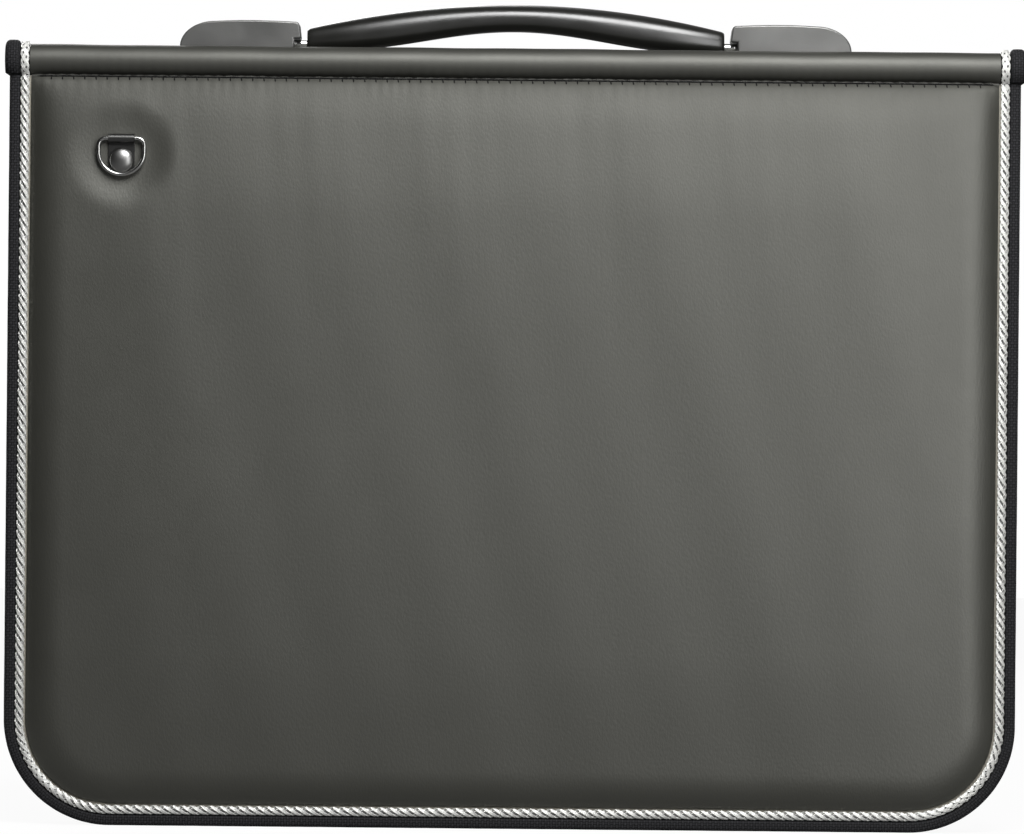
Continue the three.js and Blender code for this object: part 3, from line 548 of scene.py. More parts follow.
CHROME = metal("bright plating", (0.85, 0.85, 0.84), roughness=0.12, reach=0.05)
RING_NICKEL = metal("ring nickel", (0.42, 0.42, 0.41), roughness=0.2, reach=0.05)
DARK_NICKEL = metal("dark nickel", (0.22, 0.22, 0.215), roughness=0.34, reach=0.05)
CLIP_NICKEL = metal("clip nickel", (0.10, 0.10, 0.098), roughness=0.3, reach=0.05)
STEEL = metal("zinc plating", (0.55, 0.55, 0.56), roughness=0.30, reach=0.10)
ZIP_METAL = metal("black zip lacquer", (0.05, 0.05, 0.05), roughness=0.32, reach=0.10)
GRIP_PLASTIC = plastic("polished grip", (0.005, 0.005, 0.004), (0.008, 0.008, 0.007),
                       roughness=0.31, grains=700.0, depth=0.02, Specular_IOR_Level=0.8)
LUG_PLASTIC = plastic("lug moulding", (0.10, 0.10, 0.097), (0.15, 0.15, 0.146),
                      roughness=0.34, grains=1600.0, depth=0.03, Metallic=0.7)
TEETH_PLASTIC = plastic("zip coil", (0.006, 0.006, 0.006), (0.014, 0.014, 0.014),
                        roughness=0.38, grains=1200.0, depth=0.02)
GREY_BOARD = paper("grey board", (0.20, 0.19, 0.16), (0.34, 0.32, 0.27), fibres=900.0, depth=0.08)
BLACK_CARD = paper("black card", (0.008, 0.008, 0.008), (0.018, 0.018, 0.018), fibres=1400.0, depth=0.04)
CLEAR_FILM = clear_film("clear film")
print("finishes:", len(bpy.data.materials))

# %% [markdown]
# The rigid solids that are right as they are only need their finish: boards, steel strip and
# rail, carriers, rivets, sleeves and the black card inserts. All are flat or nearly hidden.

# %% Finish the solids that stay
KEPT_SOLIDS = {
    "front_cover_board": GREY_BOARD, "back_cover_board": GREY_BOARD, "spine_board": GREY_BOARD,
    "handle_plate": STEEL, "ring_rail": STEEL, "left_rail_rivet": STEEL, "right_rail_rivet": STEEL,
    "front_ring_carrier": STEEL, "back_ring_carrier": STEEL,
    "left_ring_lever": STEEL, "right_ring_lever": STEEL,
    "front_sleeve_1": CLEAR_FILM, "front_sleeve_2": CLEAR_FILM,
    "back_sleeve_1": CLEAR_FILM, "back_sleeve_2": CLEAR_FILM,
    "front_insert_1": BLACK_CARD, "front_insert_2": BLACK_CARD,
    "back_insert_1": BLACK_CARD, "back_insert_2": BLACK_CARD,
}
for node_name, finish in KEPT_SOLIDS.items():
    for material_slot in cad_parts[node_name].material_slots:
        material_slot.material = finish
print("solids kept:", len(KEPT_SOLIDS))

# %% [markdown]
# All edges of a cover follow one U: down the left side, round a corner, along the bottom and up
# again. The path is walked by distance, so tape, cord, zip and teeth get even steps on it.

# %% The U that the edges follow
HALF_CASE = 230.5
CORNER_RADIUS = 48.5
COVER_TOP = 341.48


def u_path(distance, inset=0.0):
    """Points and inward directions on the U, moved in by inset. Each of the two corners turns the
    heading by a right angle; the straight parts add their own length before and after."""
    radius = CORNER_RADIUS - inset
    side, flat = COVER_TOP - CORNER_RADIUS, 2 * (HALF_CASE - CORNER_RADIUS)
    bend = radius * math.pi / 2
    down = np.clip(distance, 0, side)
    first = np.clip((distance - side) / radius, 0, math.pi / 2)
    along = np.clip(distance - side - bend, 0, flat)
    second = np.clip((distance - side - bend - flat) / radius, 0, math.pi / 2)
    rise = np.clip(distance - side - 2 * bend - flat, 0, side)
    x = -flat / 2 - radius * np.cos(first) + along + radius * np.sin(second)
    z = COVER_TOP - down - radius * np.sin(first) + radius * (1 - np.cos(second)) + rise
    heading = first + second
    point = np.stack([x, np.zeros_like(x), z], 1)
    inward = np.stack([np.cos(heading), np.zeros_like(x), np.sin(heading)], 1)
    return point, inward


def u_steps(inset, step):
    """Even distances along the whole U at that inset."""
    length = 2 * (COVER_TOP - CORNER_RADIUS) + math.pi * (CORNER_RADIUS - inset)
    length += 2 * (HALF_CASE - CORNER_RADIUS)
    return np.linspace(0, length, int(length / step) + 1)


def sweep_u(section, step, inset):
    """Carries a section of (further inset, y) points along the U at the given inset."""
    distance = u_steps(inset, step)
    point, inward = u_path(distance, inset)
    section = np.asarray(section)
    rings = point[:, None] + section[None, :, :1] * inward[:, None]
    rings = rings + section[None, :, 1:] * Y_AXIS
    return rings, distance


def turned(points, side):
    """The back cover is the front cover turned half round the upright axis."""
    return points if side == "front" else points * np.array([-1.0, -1.0, 1.0])


def soft_box(inset, depth, half_inset, half_depth, power, count):
    """Closed section of a soft-cornered box: a superellipse round its middle."""
    cosine, sine = squared_circle(power, count)
    return np.stack([inset + half_inset * cosine, depth + half_depth * sine], 1)

# %% [markdown]
# The spine's leatherette is wrapped over two rolls with a saddle between them. Its outline is an
# arc round each roll and a straight run to the saddle, sampled at even steps and then softened,
# because a padded skin has no sharp crease there.

# %% The line over the rolls
ROLL_RADIUS = 7.0
ROLL_DEPTH = 15.0
ROLL_HEIGHT = 348.98
ROLL_SWEEP = math.radians(225)
ROLL_STEPS = 80
EVEN_STEPS = 400
LIP_HEIGHT = 342.28
SADDLE_HALF_WIDTH = 5.0
SADDLE_HEIGHT = 352.48
CREASE_SOFTNESS = 12


def roll_line(grow, count):
    """(y, z) points from the front lip over both rolls to the back lip, moved outwards by grow."""
    radius = ROLL_RADIUS + grow
    start = math.acos(min((ROLL_HEIGHT - LIP_HEIGHT) / radius, 1.0))
    angle = np.linspace(-math.pi / 2 - start, -math.pi / 2 - ROLL_SWEEP, ROLL_STEPS)
    arc = np.stack([-ROLL_DEPTH + radius * np.cos(angle), ROLL_HEIGHT + radius * np.sin(angle)], 1)
    half = np.vstack([arc, [[-SADDLE_HALF_WIDTH, SADDLE_HEIGHT + grow]]])
    line = np.vstack([half, half[::-1] * np.array([-1.0, 1.0])])
    length = walked_along(line)
    line = points_at(line, length, np.linspace(0, length[-1], EVEN_STEPS))
    kernel = np.ones(2 * CREASE_SOFTNESS + 1) / (2 * CREASE_SOFTNESS + 1)
    border = (CREASE_SOFTNESS, CREASE_SOFTNESS)
    padded = np.pad(line, (border, (0, 0)), mode="reflect", reflect_type="odd")
    line = np.stack([np.convolve(padded[:, axis], kernel, "valid") for axis in (0, 1)], 1)
    return points_at(line, np.arange(len(line)), np.linspace(0, len(line) - 1, count))

# %% [markdown]
# Each cover is padded under its leatherette, so its face rises over a soft rim and sinks in a
# dimple where the strap ring's clip is riveted. The seam under the roll gathers the skin in small
# folds, one to a stitch. The face is one height over a grid; a rim and a flat back close it.

# %% Padded cover panels
PANEL_INSET = 9.9
PANEL_TOP = 341.18
PANEL_BACK = 16.8
PANEL_EDGE = 17.2
PANEL_CROWN = 6.0
RIM_RISE = 0.68
RIM_WIDTH = 17.0
RIM_ROUNDNESS = 2.3
PILLOW_WIDTH = 70.0
SEAM_START = 7.0
SEAM_SLOWNESS = 0.4
SEAM_TUCK = 2.4
SEAM_TUCK_REACH = 1.3
RIM_SHINE = 0.3
RIM_SHINE_REACH = 12.0
SEAM_DULL_REACH = 5.0
CORNER_SOFTNESS = 3.0
SMALLEST_DISTANCE = 0.001
CLIP_FACE = 20.3
RING_X = -179.0
RIVET_HEIGHT = 302.98
DIMPLE_RISE = 3.0
DIMPLE_FLAT = 11.0
DIMPLE_REACH = 26.0
STITCH_PITCH = 5.1
GATHER_DEPTH = 0.50
GATHER_FADE = 2.4
GATHER_WANDER = 1.2
GATHER_SHARE, GATHER_SHARE_SWING = 0.7, 0.5
UNEVENNESS = 0.32
LONG_FOLD_DEPTH = 0.07
LONG_FOLD_TILT = 0.06
LONG_FOLD_FADE = 60.0
PANEL_COLUMNS = 371
PANEL_ROWS = (14, 90, 16, 15)
FINE_BOTTOM = 16.0
FINE_TOP = 18.0
FINEST_TOP = 4.0


def sheet_grid(inset, columns, heights):
    """Grid of (x, z) inside the U: every row is stretched to the width of the outline there."""
    half, radius = HALF_CASE - inset, CORNER_RADIUS - inset
    below = np.clip(inset + radius - heights, 0, radius)
    width = half - radius + np.sqrt(radius ** 2 - below ** 2)
    return width[:, None] * columns[None, :], np.repeat(heights[:, None], len(columns), 1)


def rim_distance(x, z, inset, top):
    """Distance from the nearest edge: a side, the bottom, the top, or a rounded corner."""
    half, radius = HALF_CASE - inset, CORNER_RADIUS - inset
    dx, dz = np.abs(x) - (half - radius), inset + radius - z
    corner = np.where((dx > 0) & (dz > 0), radius - np.hypot(dx, dz), np.inf)
    return np.minimum.reduce([half - np.abs(x), z - inset, top - z, corner])


def padded_distance(x, z):
    """Distance to the rim for the padding: soft where two sides meet, so that no mitre shows, and
    slower below the seam, where the roll hides the steepest part."""
    sides = rim_distance(x, z, PANEL_INSET, 2 * PANEL_TOP)
    seam = SEAM_START + SEAM_SLOWNESS * (PANEL_TOP - z)
    sides, seam = (np.maximum(distance, SMALLEST_DISTANCE) for distance in (sides, seam))
    return (sides ** -CORNER_SOFTNESS + seam ** -CORNER_SOFTNESS) ** (-1 / CORNER_SOFTNESS)


def panel_depth(x, z):
    """Edge depth, plus a crown whose slope is steepest at the very rim and fades inwards, plus a
    slow pillow, tucked in at the seam, less the dimple under the clip, plus slow unevenness of the
    padding and gathers that fade away from the seam."""
    away = np.hypot(x - RING_X, z - RIVET_HEIGHT - DIMPLE_RISE)
    from_rim = padded_distance(x, z)
    rim = 1 - (1 - np.clip(from_rim / RIM_WIDTH, 0, 1)) ** RIM_ROUNDNESS
    pillow = ease((HALF_CASE - PANEL_INSET - np.abs(x)) / PILLOW_WIDTH)
    pillow = pillow * ease((z - PANEL_INSET) / PILLOW_WIDTH)
    pillow = pillow * ease((SEAM_START + PANEL_TOP - z) / PILLOW_WIDTH)
    inner = RIM_RISE * rim + (1 - RIM_RISE) * pillow
    below = np.clip(PANEL_TOP - z, 0, None)
    face = PANEL_EDGE + PANEL_CROWN * inner - SEAM_TUCK * np.exp(-below / SEAM_TUCK_REACH)
    dimple = (face - CLIP_FACE) * (1 - ease((away - DIMPLE_FLAT) / (DIMPLE_REACH - DIMPLE_FLAT)))
    off_clip = ease((away - DIMPLE_FLAT) / DIMPLE_REACH)
    uneven = waves(x, z, seed=3, lengths=(46.0, 63.0, 81.0, 120.0), strength=UNEVENNESS)
    wander = waves(x, x, seed=8, lengths=(37.0, 90.0), strength=GATHER_WANDER)
    fold = np.cos(2 * math.pi * (x + wander) / STITCH_PITCH)
    size = GATHER_SHARE + waves(x, x, seed=5, lengths=(23.0, 58.0), strength=GATHER_SHARE_SWING)
    gathers = GATHER_DEPTH * size * fold * np.exp(-below / GATHER_FADE)
    folds = waves(x, z * LONG_FOLD_TILT, seed=12, lengths=(9.0, 13.0, 21.0), strength=LONG_FOLD_DEPTH)
    folds = folds * rim * np.exp(-below / LONG_FOLD_FADE)
    return face - dimple + uneven * inner * off_clip + gathers + folds


def closed_sheet(front, back_y):
    """Closes a grid of front points with a wall round its rim and one flat back face."""
    rows, columns = front.shape[:2]
    number = np.arange(rows * columns).reshape(rows, columns)
    rim = np.concatenate([number[0], number[1:, -1], number[-1, -2::-1], number[-2:0:-1, 0]])
    points = front.reshape(-1, 3)
    back = points[rim] * np.array([1.0, 0.0, 1.0]) + np.array([0.0, back_y, 0.0])
    here = np.arange(len(rim))
    there = np.roll(here, -1)
    start = len(points)
    wall = np.stack([rim[there], rim[here], start + here, start + there], 1)
    faces = grid_faces(rows, columns, loop_columns=False).tolist() + wall.tolist()
    return np.vstack([points, back]), faces + [(start + here[::-1]).tolist()]


def stacked_heights(levels, counts):
    """Row heights that pass through the levels, with a count of rows for each band between."""
    bands = [np.linspace(*band) for band in zip(levels, levels[1:], counts)]
    return np.concatenate([bands[0]] + [band[1:] for band in bands[1:]])


levels_of_panel = (PANEL_INSET, PANEL_INSET + FINE_BOTTOM, PANEL_TOP - FINE_TOP,
                   PANEL_TOP - FINEST_TOP, PANEL_TOP)
rows_of_panel = stacked_heights(levels_of_panel, PANEL_ROWS)
columns_of_panel = np.linspace(-1, 1, PANEL_COLUMNS)
panel_x, panel_z = sheet_grid(PANEL_INSET, columns_of_panel, rows_of_panel)
sides_near = np.exp(-rim_distance(panel_x, panel_z, PANEL_INSET, 2 * PANEL_TOP) / RIM_SHINE_REACH)
seam_near = np.exp((panel_z - PANEL_TOP) / SEAM_DULL_REACH)
dullness = (seam_near - RIM_SHINE * sides_near).ravel()
panel_face = np.stack([panel_x, -panel_depth(panel_x, panel_z), panel_z], 2)
panel_points, panel_faces = closed_sheet(panel_face, -PANEL_BACK)
for side in ("front", "back"):
    panel = make_piece(f"{side}_padded_panel", turned(panel_points, side), panel_faces, COVER_SKIN,
                       f"{side}_cover", [f"{side}_cover_panel"])
    near = panel.data.attributes.new(SEAM_CREASING, "FLOAT", "POINT")
    near.data.foreach_set("value", np.append(dullness, np.ones(len(panel.data.vertices) - len(dullness))))
print("panel faces:", len(panel_faces), "deepest point:", round(-panel_points[:, 1].min(), 2), "mm")

# %% [markdown]
# The seam that closes each panel under the roll is sewn over the edge in black thread. One short
# round stitch lies in every hollow between two gathers, and the thread runs from one to the next.
# The black thread is also painted shadow: the run fills the line under the roll where its shadow
# falls, and the stitches darken the hollows between the gathers.

# %% Seam stitches
STITCH_LENGTH = 1.5
STITCH_RADIUS = 0.32
STITCH_RINGS = 6
STITCH_TIP = 0.05
STITCH_LIFT = 0.1
STITCH_SLANT = 0.25
SEAM_HALF_LENGTH = 218.0
STITCHED_HALF_LENGTH = 214.0
SEAM_RUN_RADIUS = 0.5
SEAM_RUN_STEPS = 740
SEAM_RUN_LEVEL = PANEL_TOP - 0.05


def stitch_rings(places, top, length, radius):
    """A bent capsule for every place: a few rings down the panel's face, narrow at both ends."""
    t = np.linspace(0, 1, STITCH_RINGS)
    thickness = radius * np.sqrt(np.clip(1 - (2 * t - 1) ** 4, STITCH_TIP, 1))
    x = places[:, None] + STITCH_SLANT * (t - 0.5)[None, :]
    z = np.broadcast_to(top - length * t, x.shape)
    centre = np.stack([x, -panel_depth(x, z) - STITCH_LIFT, z], 2)
    ring = tube(np.zeros((1, 3)), X_AXIS, Y_AXIS, 1.0, 1.0, sides=6)[0]
    return centre[:, :, None] + ring[None, None] * thickness[None, :, None, None]


def merge(parts):
    """Puts several (points, faces, uv) parts into one mesh."""
    points, faces, uvs, count = [], [], [], 0
    for part_points, part_faces, part_uv in parts:
        points.append(part_points.reshape(-1, 3))
        faces += [[count + corner for corner in face] for face in part_faces]
        uvs.append(part_uv)
        count += len(points[-1])
    return np.vstack(points), faces, np.vstack(uvs)


def seam_shadow_run(half_length):
    """The thread that lies along the seam from stitch to stitch, over the top of the gathers; black, it
    also paints the shadow line under the roll.
    """
    x = np.linspace(-half_length, half_length, SEAM_RUN_STEPS)
    level = np.full(len(x), SEAM_RUN_LEVEL)
    centre = np.column_stack([x, -panel_depth(x, level), level])
    rings = tube(centre, Y_AXIS, Z_AXIS, SEAM_RUN_RADIUS, SEAM_RUN_RADIUS, sides=8)
    return rings, *skin(rings, along=x)


stitch_places = np.arange(-STITCHED_HALF_LENGTH, STITCHED_HALF_LENGTH, STITCH_PITCH) + STITCH_PITCH / 2
stitches = stitch_rings(stitch_places, PANEL_TOP - STITCH_LIFT, STITCH_LENGTH, STITCH_RADIUS)
stitch_along = np.linspace(0, STITCH_LENGTH, STITCH_RINGS)
stitch_parts = [(rings, *skin(rings, along=stitch_along)) for rings in stitches]
stitch_points, stitch_faces, stitch_uv = merge(stitch_parts + [seam_shadow_run(SEAM_HALF_LENGTH)])
for side in ("front", "back"):
    make_piece(f"{side}_seam_stitches_and_shadow", turned(stitch_points, side), stitch_faces, SEAM_THREAD_AND_SHADE,
               f"{side}_cover", uv=stitch_uv)
print("stitches on each cover:", len(stitch_places))

# %% [markdown]
# The spine's cover is the line over the rolls carried from end to end. The foam inside is never
# quite even, so the skin swells and sinks by a tenth or two, and it is pulled in at each stitch.

# %% Padded spine cover
PADDING_END = 221.0
CHANNEL_DEPTH = 14.3
CHANNEL_TOP = 348.78
ROLL_POINTS = 84
SPINE_STEPS = 380
SWELL = 0.16
STITCH_PULL = 0.16
STITCH_PULL_POINTS = 4.0


def spine_cover_rings():
    """Roll line at every station, moved along its own normal by slow waves and lip gathers."""
    x = np.linspace(-PADDING_END, PADDING_END, SPINE_STEPS)
    line = roll_line(0.0, ROLL_POINTS)
    around = np.linspace(0, 90, ROLL_POINTS)
    swell = waves(x[:, None], around[None, :], seed=21, lengths=(31.0, 47.0, 88.0), strength=SWELL)
    from_lip = np.minimum(np.arange(ROLL_POINTS), np.arange(ROLL_POINTS)[::-1])
    pull = STITCH_PULL * np.exp(-from_lip / STITCH_PULL_POINTS)[None, :]
    pull = pull * np.cos(2 * math.pi * x[:, None] / STITCH_PITCH)
    skin_line = line[None] + (swell + pull)[:, :, None] * left_of(line)[None]
    channel = np.array([[CHANNEL_DEPTH, LIP_HEIGHT], [CHANNEL_DEPTH, CHANNEL_TOP],
                        [-CHANNEL_DEPTH, CHANNEL_TOP], [-CHANNEL_DEPTH, LIP_HEIGHT]])
    section = np.concatenate([skin_line, np.broadcast_to(channel, (len(x), 4, 2))], 1)
    return carried_along_x(x, section)


spine_rings = spine_cover_rings()
spine_faces, _ = skin(spine_rings)
spine_cover = make_piece("padded_spine_cover", spine_rings, spine_faces, ROLL_SKIN, "spine",
                         ["spine_cover"])
print("spine cover top:", round(spine_rings[:, :, 2].max(), 2), "mm")

# %% [markdown]
# Woven tape is folded round the edge of each cover and round both ends of the spine. A soft
# section is carried along the U; at the spine the roll line grows outwards into a raised rib.

# %% Bindings
BINDING_RIPPLE = 0.012


def bind_covers():
    """Tape round both covers' edges, with a faint ripple where the sewing machine fed it."""
    section = soft_box(inset=2.5, depth=-16.55, half_inset=2.5, half_depth=2.4, power=0.55, count=24)
    rings, distance = sweep_u(section, step=1.2, inset=0.0)
    middle = rings.mean(1, keepdims=True)
    ripple = 1 + waves(distance, distance, seed=31, lengths=(6.3, 9.7, 17.0), strength=BINDING_RIPPLE)
    rings = middle + (rings - middle) * ripple[:, None, None]
    faces, uv = skin(rings, along=distance)
    for side in ("front", "back"):
        make_piece(f"{side}_bound_edge", turned(rings, side), faces, BINDING_TAPE, f"{side}_cover",
                   [f"{side}_edge_binding"], uv)
    return distance[-1]


RIB_STATIONS = ((219.9, -1.25), (225.3, -1.2), (225.6, 0.4), (226.1, 1.3), (227.0, 1.8), (228.5, 1.9),
                (230.6, 1.85), (231.6, 1.4), (232.2, 0.6))
END_FACE_STATIONS = ((232.5, 0.94), (232.6, 0.8), (232.6, 0.5), (232.6, 0.2), (232.6, 0.03))
END_FACE_MIDDLE = 347.4
MEASURED_POINT = 30


def bind_spine_end(side, sign):
    """Seat under the cord and the rib, whose stations are (x, growth) of the roll line, then the
    end face, whose stations are (x, share) of the last line, shrunk towards the face's middle."""
    lines = [roll_line(grow, ROLL_POINTS) for _, grow in RIB_STATIONS]
    middle = np.array([0.0, END_FACE_MIDDLE])
    lines += [middle + share * (lines[-1] - middle) for _, share in END_FACE_STATIONS]
    places = np.array([x for x, _ in RIB_STATIONS + END_FACE_STATIONS])
    rings = carried_along_x(sign * places, lines)
    faces, uv = skin(rings, along=walked_along(rings[:, MEASURED_POINT]))
    make_piece(f"{side}_bound_spine_end", rings, faces, BINDING_TAPE, "spine",
               [f"{side}_spine_binding"], uv)


print("binding on each cover:", round(bind_covers()), "mm")
for side, sign in (("left", -1), ("right", 1)):
    bind_spine_end(side, sign)

# %% [markdown]
# The silver cord is a flat plait of six strands, three winding each way, and each strand is three
# filaments side by side. A strand's angle round the cord grows with the distance walked, and it
# rises and dips once for every two strands that it meets, so that it passes over one and under
# the next. It was sewn on under tension, which brings one hand to the top on both sides and
# the other along the bottom.

# %% Plaited cord
PLAIT_PITCH = 12.9
PLAIT_STRANDS = 3
PLAIT_LIFT = 0.14
CORD_HALF_WIDTH = 1.85
CORD_HALF_DEPTH = 0.80
CORE_HALF_WIDTH = 0.62 * CORD_HALF_WIDTH
CORE_HALF_DEPTH = 0.85 * CORD_HALF_DEPTH
FILAMENT_RADIUS = 0.23
FILAMENT_SPACING = 0.48
RAISED = 0.24
SUNK = 0.62
ZIGZAG = 0.985
LEAN_ALONG = ((0.0, -1.0), (290.0, -1.0), (350.0, 1.0), (715.0, 1.0), (780.0, -1.0))
CORD_INSET = 7.2
CORD_DEPTH = 18.3
CORD_STEP = 0.9
CORE_STRIDE = 4


def laid_strands(centre, across, outward, hand, lean):
    """Strands that wind one way. Middle of a strand: centre + across c + outward sin(a), where a
    turns once in a pitch and c is cos(a) pulled out to a zigzag, since a strand runs straight over
    the face and doubles back at the edge; its filaments stand side by side, square to its run."""
    walked = walked_along(centre)
    lift = hand * PLAIT_LIFT * np.cos(2 * math.pi * PLAIT_STRANDS * walked / PLAIT_PITCH)
    raised = hand * lean * np.interp(walked, *np.array(LEAN_ALONG).T)
    lift = lift + np.where(raised > 0, RAISED, SUNK) * raised
    parts = []
    for strand in range(PLAIT_STRANDS):
        angle = 2 * math.pi * (hand * walked / PLAIT_PITCH + strand / PLAIT_STRANDS)
        c = (np.arcsin(ZIGZAG * np.cos(angle)) / math.asin(ZIGZAG))[:, None]
        s = np.sin(angle)[:, None]
        middle = centre + across * c * (CORD_HALF_WIDTH - FILAMENT_RADIUS + lift[:, None])
        middle = middle + outward * s * (CORD_HALF_DEPTH + lift[:, None])
        normal = across * c / CORD_HALF_WIDTH + outward * s / CORD_HALF_DEPTH
        normal /= np.linalg.norm(normal, axis=1, keepdims=True)
        side = np.cross(np.gradient(middle, axis=0), normal)
        side /= np.linalg.norm(side, axis=1, keepdims=True)
        for place in (-1, 0, 1):
            heart = middle + side * place * FILAMENT_SPACING
            rings = tube(heart, side, normal, FILAMENT_RADIUS, FILAMENT_RADIUS, sides=6)
            parts.append((rings, *skin(rings, along=walked)))
    return parts


def cord_core(centre, across, outward):
    """Dark core that fills the middle of the plait; its dark colour is painted shade, seen through the gaps
    between strands.
    """
    rings = tube(centre, across, outward, CORE_HALF_WIDTH, CORE_HALF_DEPTH, sides=12)
    return rings, *skin(rings, along=walked_along(centre))


def cord_pieces(name, centre, across, outward, body, replaced, lean, place=lambda points: points):
    """Makes the strands of either hand and the core as three pieces."""
    for label, hand in (("right_laid", 1), ("left_laid", -1)):
        points, faces, uv = merge(laid_strands(centre, across, outward, hand, lean))
        make_piece(f"{name}_{label}", place(points), faces, SILVER_YARN, body,
                   [replaced], uv)
    lines = (line[::CORE_STRIDE] for line in (centre, across, outward))
    core_points, core_faces, core_uv = cord_core(*lines)
    make_piece(f"{name}_core", place(core_points), core_faces, CORE_SHADE_YARN, body,
               uv=core_uv)
    return 2 * len(faces)


cord_steps = u_steps(CORD_INSET, CORD_STEP)
cord_centre, cord_across = u_path(cord_steps, CORD_INSET)
cord_centre = cord_centre - CORD_DEPTH * Y_AXIS
cord_outward = np.broadcast_to(-Y_AXIS, cord_centre.shape)
for side in ("front", "back"):
    count = cord_pieces(f"{side}_cord", cord_centre, cord_across, cord_outward, f"{side}_cover",
                        f"{side}_edge_braid", lean=1, place=lambda points: turned(points, side))
    print(side, "cord:", round(cord_steps[-1]), "mm,", count, "faces")

over_line = roll_line(grow=0.5, count=130)
outward = np.column_stack([np.zeros(len(over_line)), left_of(over_line)])
across = np.broadcast_to(X_AXIS, outward.shape)
for side, sign in (("left", -1), ("right", 1)):
    centre = np.column_stack([np.full(len(over_line), sign * (HALF_CASE - CORD_INSET)), over_line])
    cord_pieces(f"{side}_spine_cord", centre, across, outward, "spine", f"{side}_spine_braid", lean=0)

# %% [markdown]
# The zip closes three sides: a tape with a nylon coil on either cover. Each turn of the coil is
# modelled as a short bar with a thicker head. The two rows stand half a step apart, and their
# heads reach past the middle, into the gaps of the other row.

# %% Zip tapes and coils
TOOTH_PITCH = 1.5
TOOTH_STATIONS = ((-3.1, 0.30), (-2.5, 0.42), (-1.3, 0.44), (-0.7, 0.50), (-0.1, 0.37),
                  (0.45, 0.36), (0.6, 0.2))
TOOTH_STRETCH = 1.5
ZIP_INSET = 6.0


def zip_half(side):
    """Tape as a thin section on the U, and one bar for every turn of the coil."""
    section = soft_box(inset=6.1, depth=-8.15, half_inset=0.45, half_depth=5.6, power=0.25, count=12)
    rings, distance = sweep_u(section, step=3.0, inset=0.0)
    faces, uv = skin(rings, along=distance)
    make_piece(f"{side}_zip_webbing", turned(rings, side), faces, ZIP_TAPE, f"{side}_cover",
               [f"{side}_zip_tape"], uv)
    places = u_steps(ZIP_INSET, TOOTH_PITCH)[:-1] + (TOOTH_PITCH / 2 if side == "front" else 0.0)
    point, inward = u_path(places, ZIP_INSET)
    depth, radius = np.array(TOOTH_STATIONS).T
    ring = tube(np.zeros_like(point), inward, np.cross(inward, Y_AXIS), TOOTH_STRETCH, 1.0, sides=6)
    teeth = point[:, None, None] + ring[:, None] * radius[None, :, None, None]
    teeth = teeth + Y_AXIS * depth[None, :, None, None]
    parts = [(tooth, *skin(tooth, along=depth)) for tooth in teeth]
    points, faces, uv = merge(parts)
    make_piece(f"{side}_zip_coil", turned(points, side), faces, TEETH_PLASTIC, f"{side}_cover",
               [f"{side}_zip_teeth"], uv)
    return len(places)


for side in ("front", "back"):
    print(side, "coil turns:", zip_half(side))

# %% [markdown]
# Inside, each cover is lined with thin black leatherette, and a strip of it covers the spine.
# The lining lies flat but never dead flat, so its face has slow shallow waves.

# %% Linings
LINING_INSET = 6.9
LINING_TOP = 339.48
LINING_FACE = 13.2
LINING_BACK = 13.68
LINING_ROWS = 90
LINING_COLUMNS = 121
LINING_RIM = 6.0
LINING_SWELL = 0.12
LINING_WAVE = 0.11
SPINE_LINING_LEVEL = 343.93
SPINE_LINING_SAG = 0.08
SPINE_LINING_HALF = 13.9
SPINE_LINING_POINTS = 20
SPINE_LINING_THICKNESS = 0.4
STRIP_STEPS = 60

lining_rows = np.linspace(LINING_INSET, LINING_TOP, LINING_ROWS)
lining_x, lining_z = sheet_grid(LINING_INSET, np.linspace(-1, 1, LINING_COLUMNS), lining_rows)
lining_rim = ease(rim_distance(lining_x, lining_z, LINING_INSET, LINING_TOP) / LINING_RIM)
lining_wave = waves(lining_x, lining_z, seed=17, lengths=(58.0, 95.0, 140.0), strength=LINING_WAVE)
lining_depth = LINING_FACE + lining_rim * (LINING_SWELL + lining_wave)
lining_face = np.stack([lining_x, -lining_depth, lining_z], 2)
lining_points, lining_faces = closed_sheet(lining_face, -LINING_BACK)
for side in ("front", "back"):
    make_piece(f"{side}_lining_skin", turned(lining_points, side), lining_faces, LINING_SKIN,
               f"{side}_cover", [f"{side}_cover_lining"])


def strip(name, line, half_length, thickness, material, body=None, replaces=()):
    """A thin strip: a (y, z) line with a wall on both sides, carried along X."""
    line = np.asarray(line, float)
    normal = thickness / 2 * left_of(line)
    x = np.linspace(-half_length, half_length, STRIP_STEPS)
    rings = carried_along_x(x, np.vstack([line + normal, (line - normal)[::-1]]))
    faces, uv = skin(rings, along=x - x[0])
    return make_piece(name, rings, faces, material, body, replaces, uv)


lining_y = np.linspace(-SPINE_LINING_HALF, SPINE_LINING_HALF, SPINE_LINING_POINTS)
lining_line = np.column_stack([lining_y, SPINE_LINING_LEVEL - SPINE_LINING_SAG * np.cos(lining_y)])
strip("spine_lining_skin", lining_line, PADDING_END, SPINE_LINING_THICKNESS, LINING_SKIN,
      "spine", ["spine_lining"])
print("lining faces:", len(lining_faces))

# %% [markdown]
# The covers hang from the spine by the leatherette itself. A strip of the outer skin joins the
# roll's lip to the panel, and a strip of the lining joins the spine to the cover inside. The inner
# one has slack, because it has further to go when a cover opens.

# %% Hinge strips
OUTER_HINGE = ((-16.0, 345.0), (-16.1, 343.2), (-16.2, 342.2), (-16.3, 341.4), (-16.4, 340.4),
               (-16.5, 338.6))
INNER_HINGE = ((-13.3, 343.6), (-12.7, 342.9), (-11.9, 341.9), (-11.8, 340.7), (-12.4, 339.6),
               (-13.0, 338.6), (-13.1, 337.4))
HINGE_THICKNESS = 0.5
HINGE_POINTS = 24


def soften(line, count):
    """More points on a line, by interpolation, averaged with their neighbours."""
    fine = points_at(np.array(line), np.arange(len(line)), np.linspace(0, len(line) - 1, count))
    fine[1:-1] = (fine[:-2] + fine[1:-1] + fine[2:]) / 3
    return fine


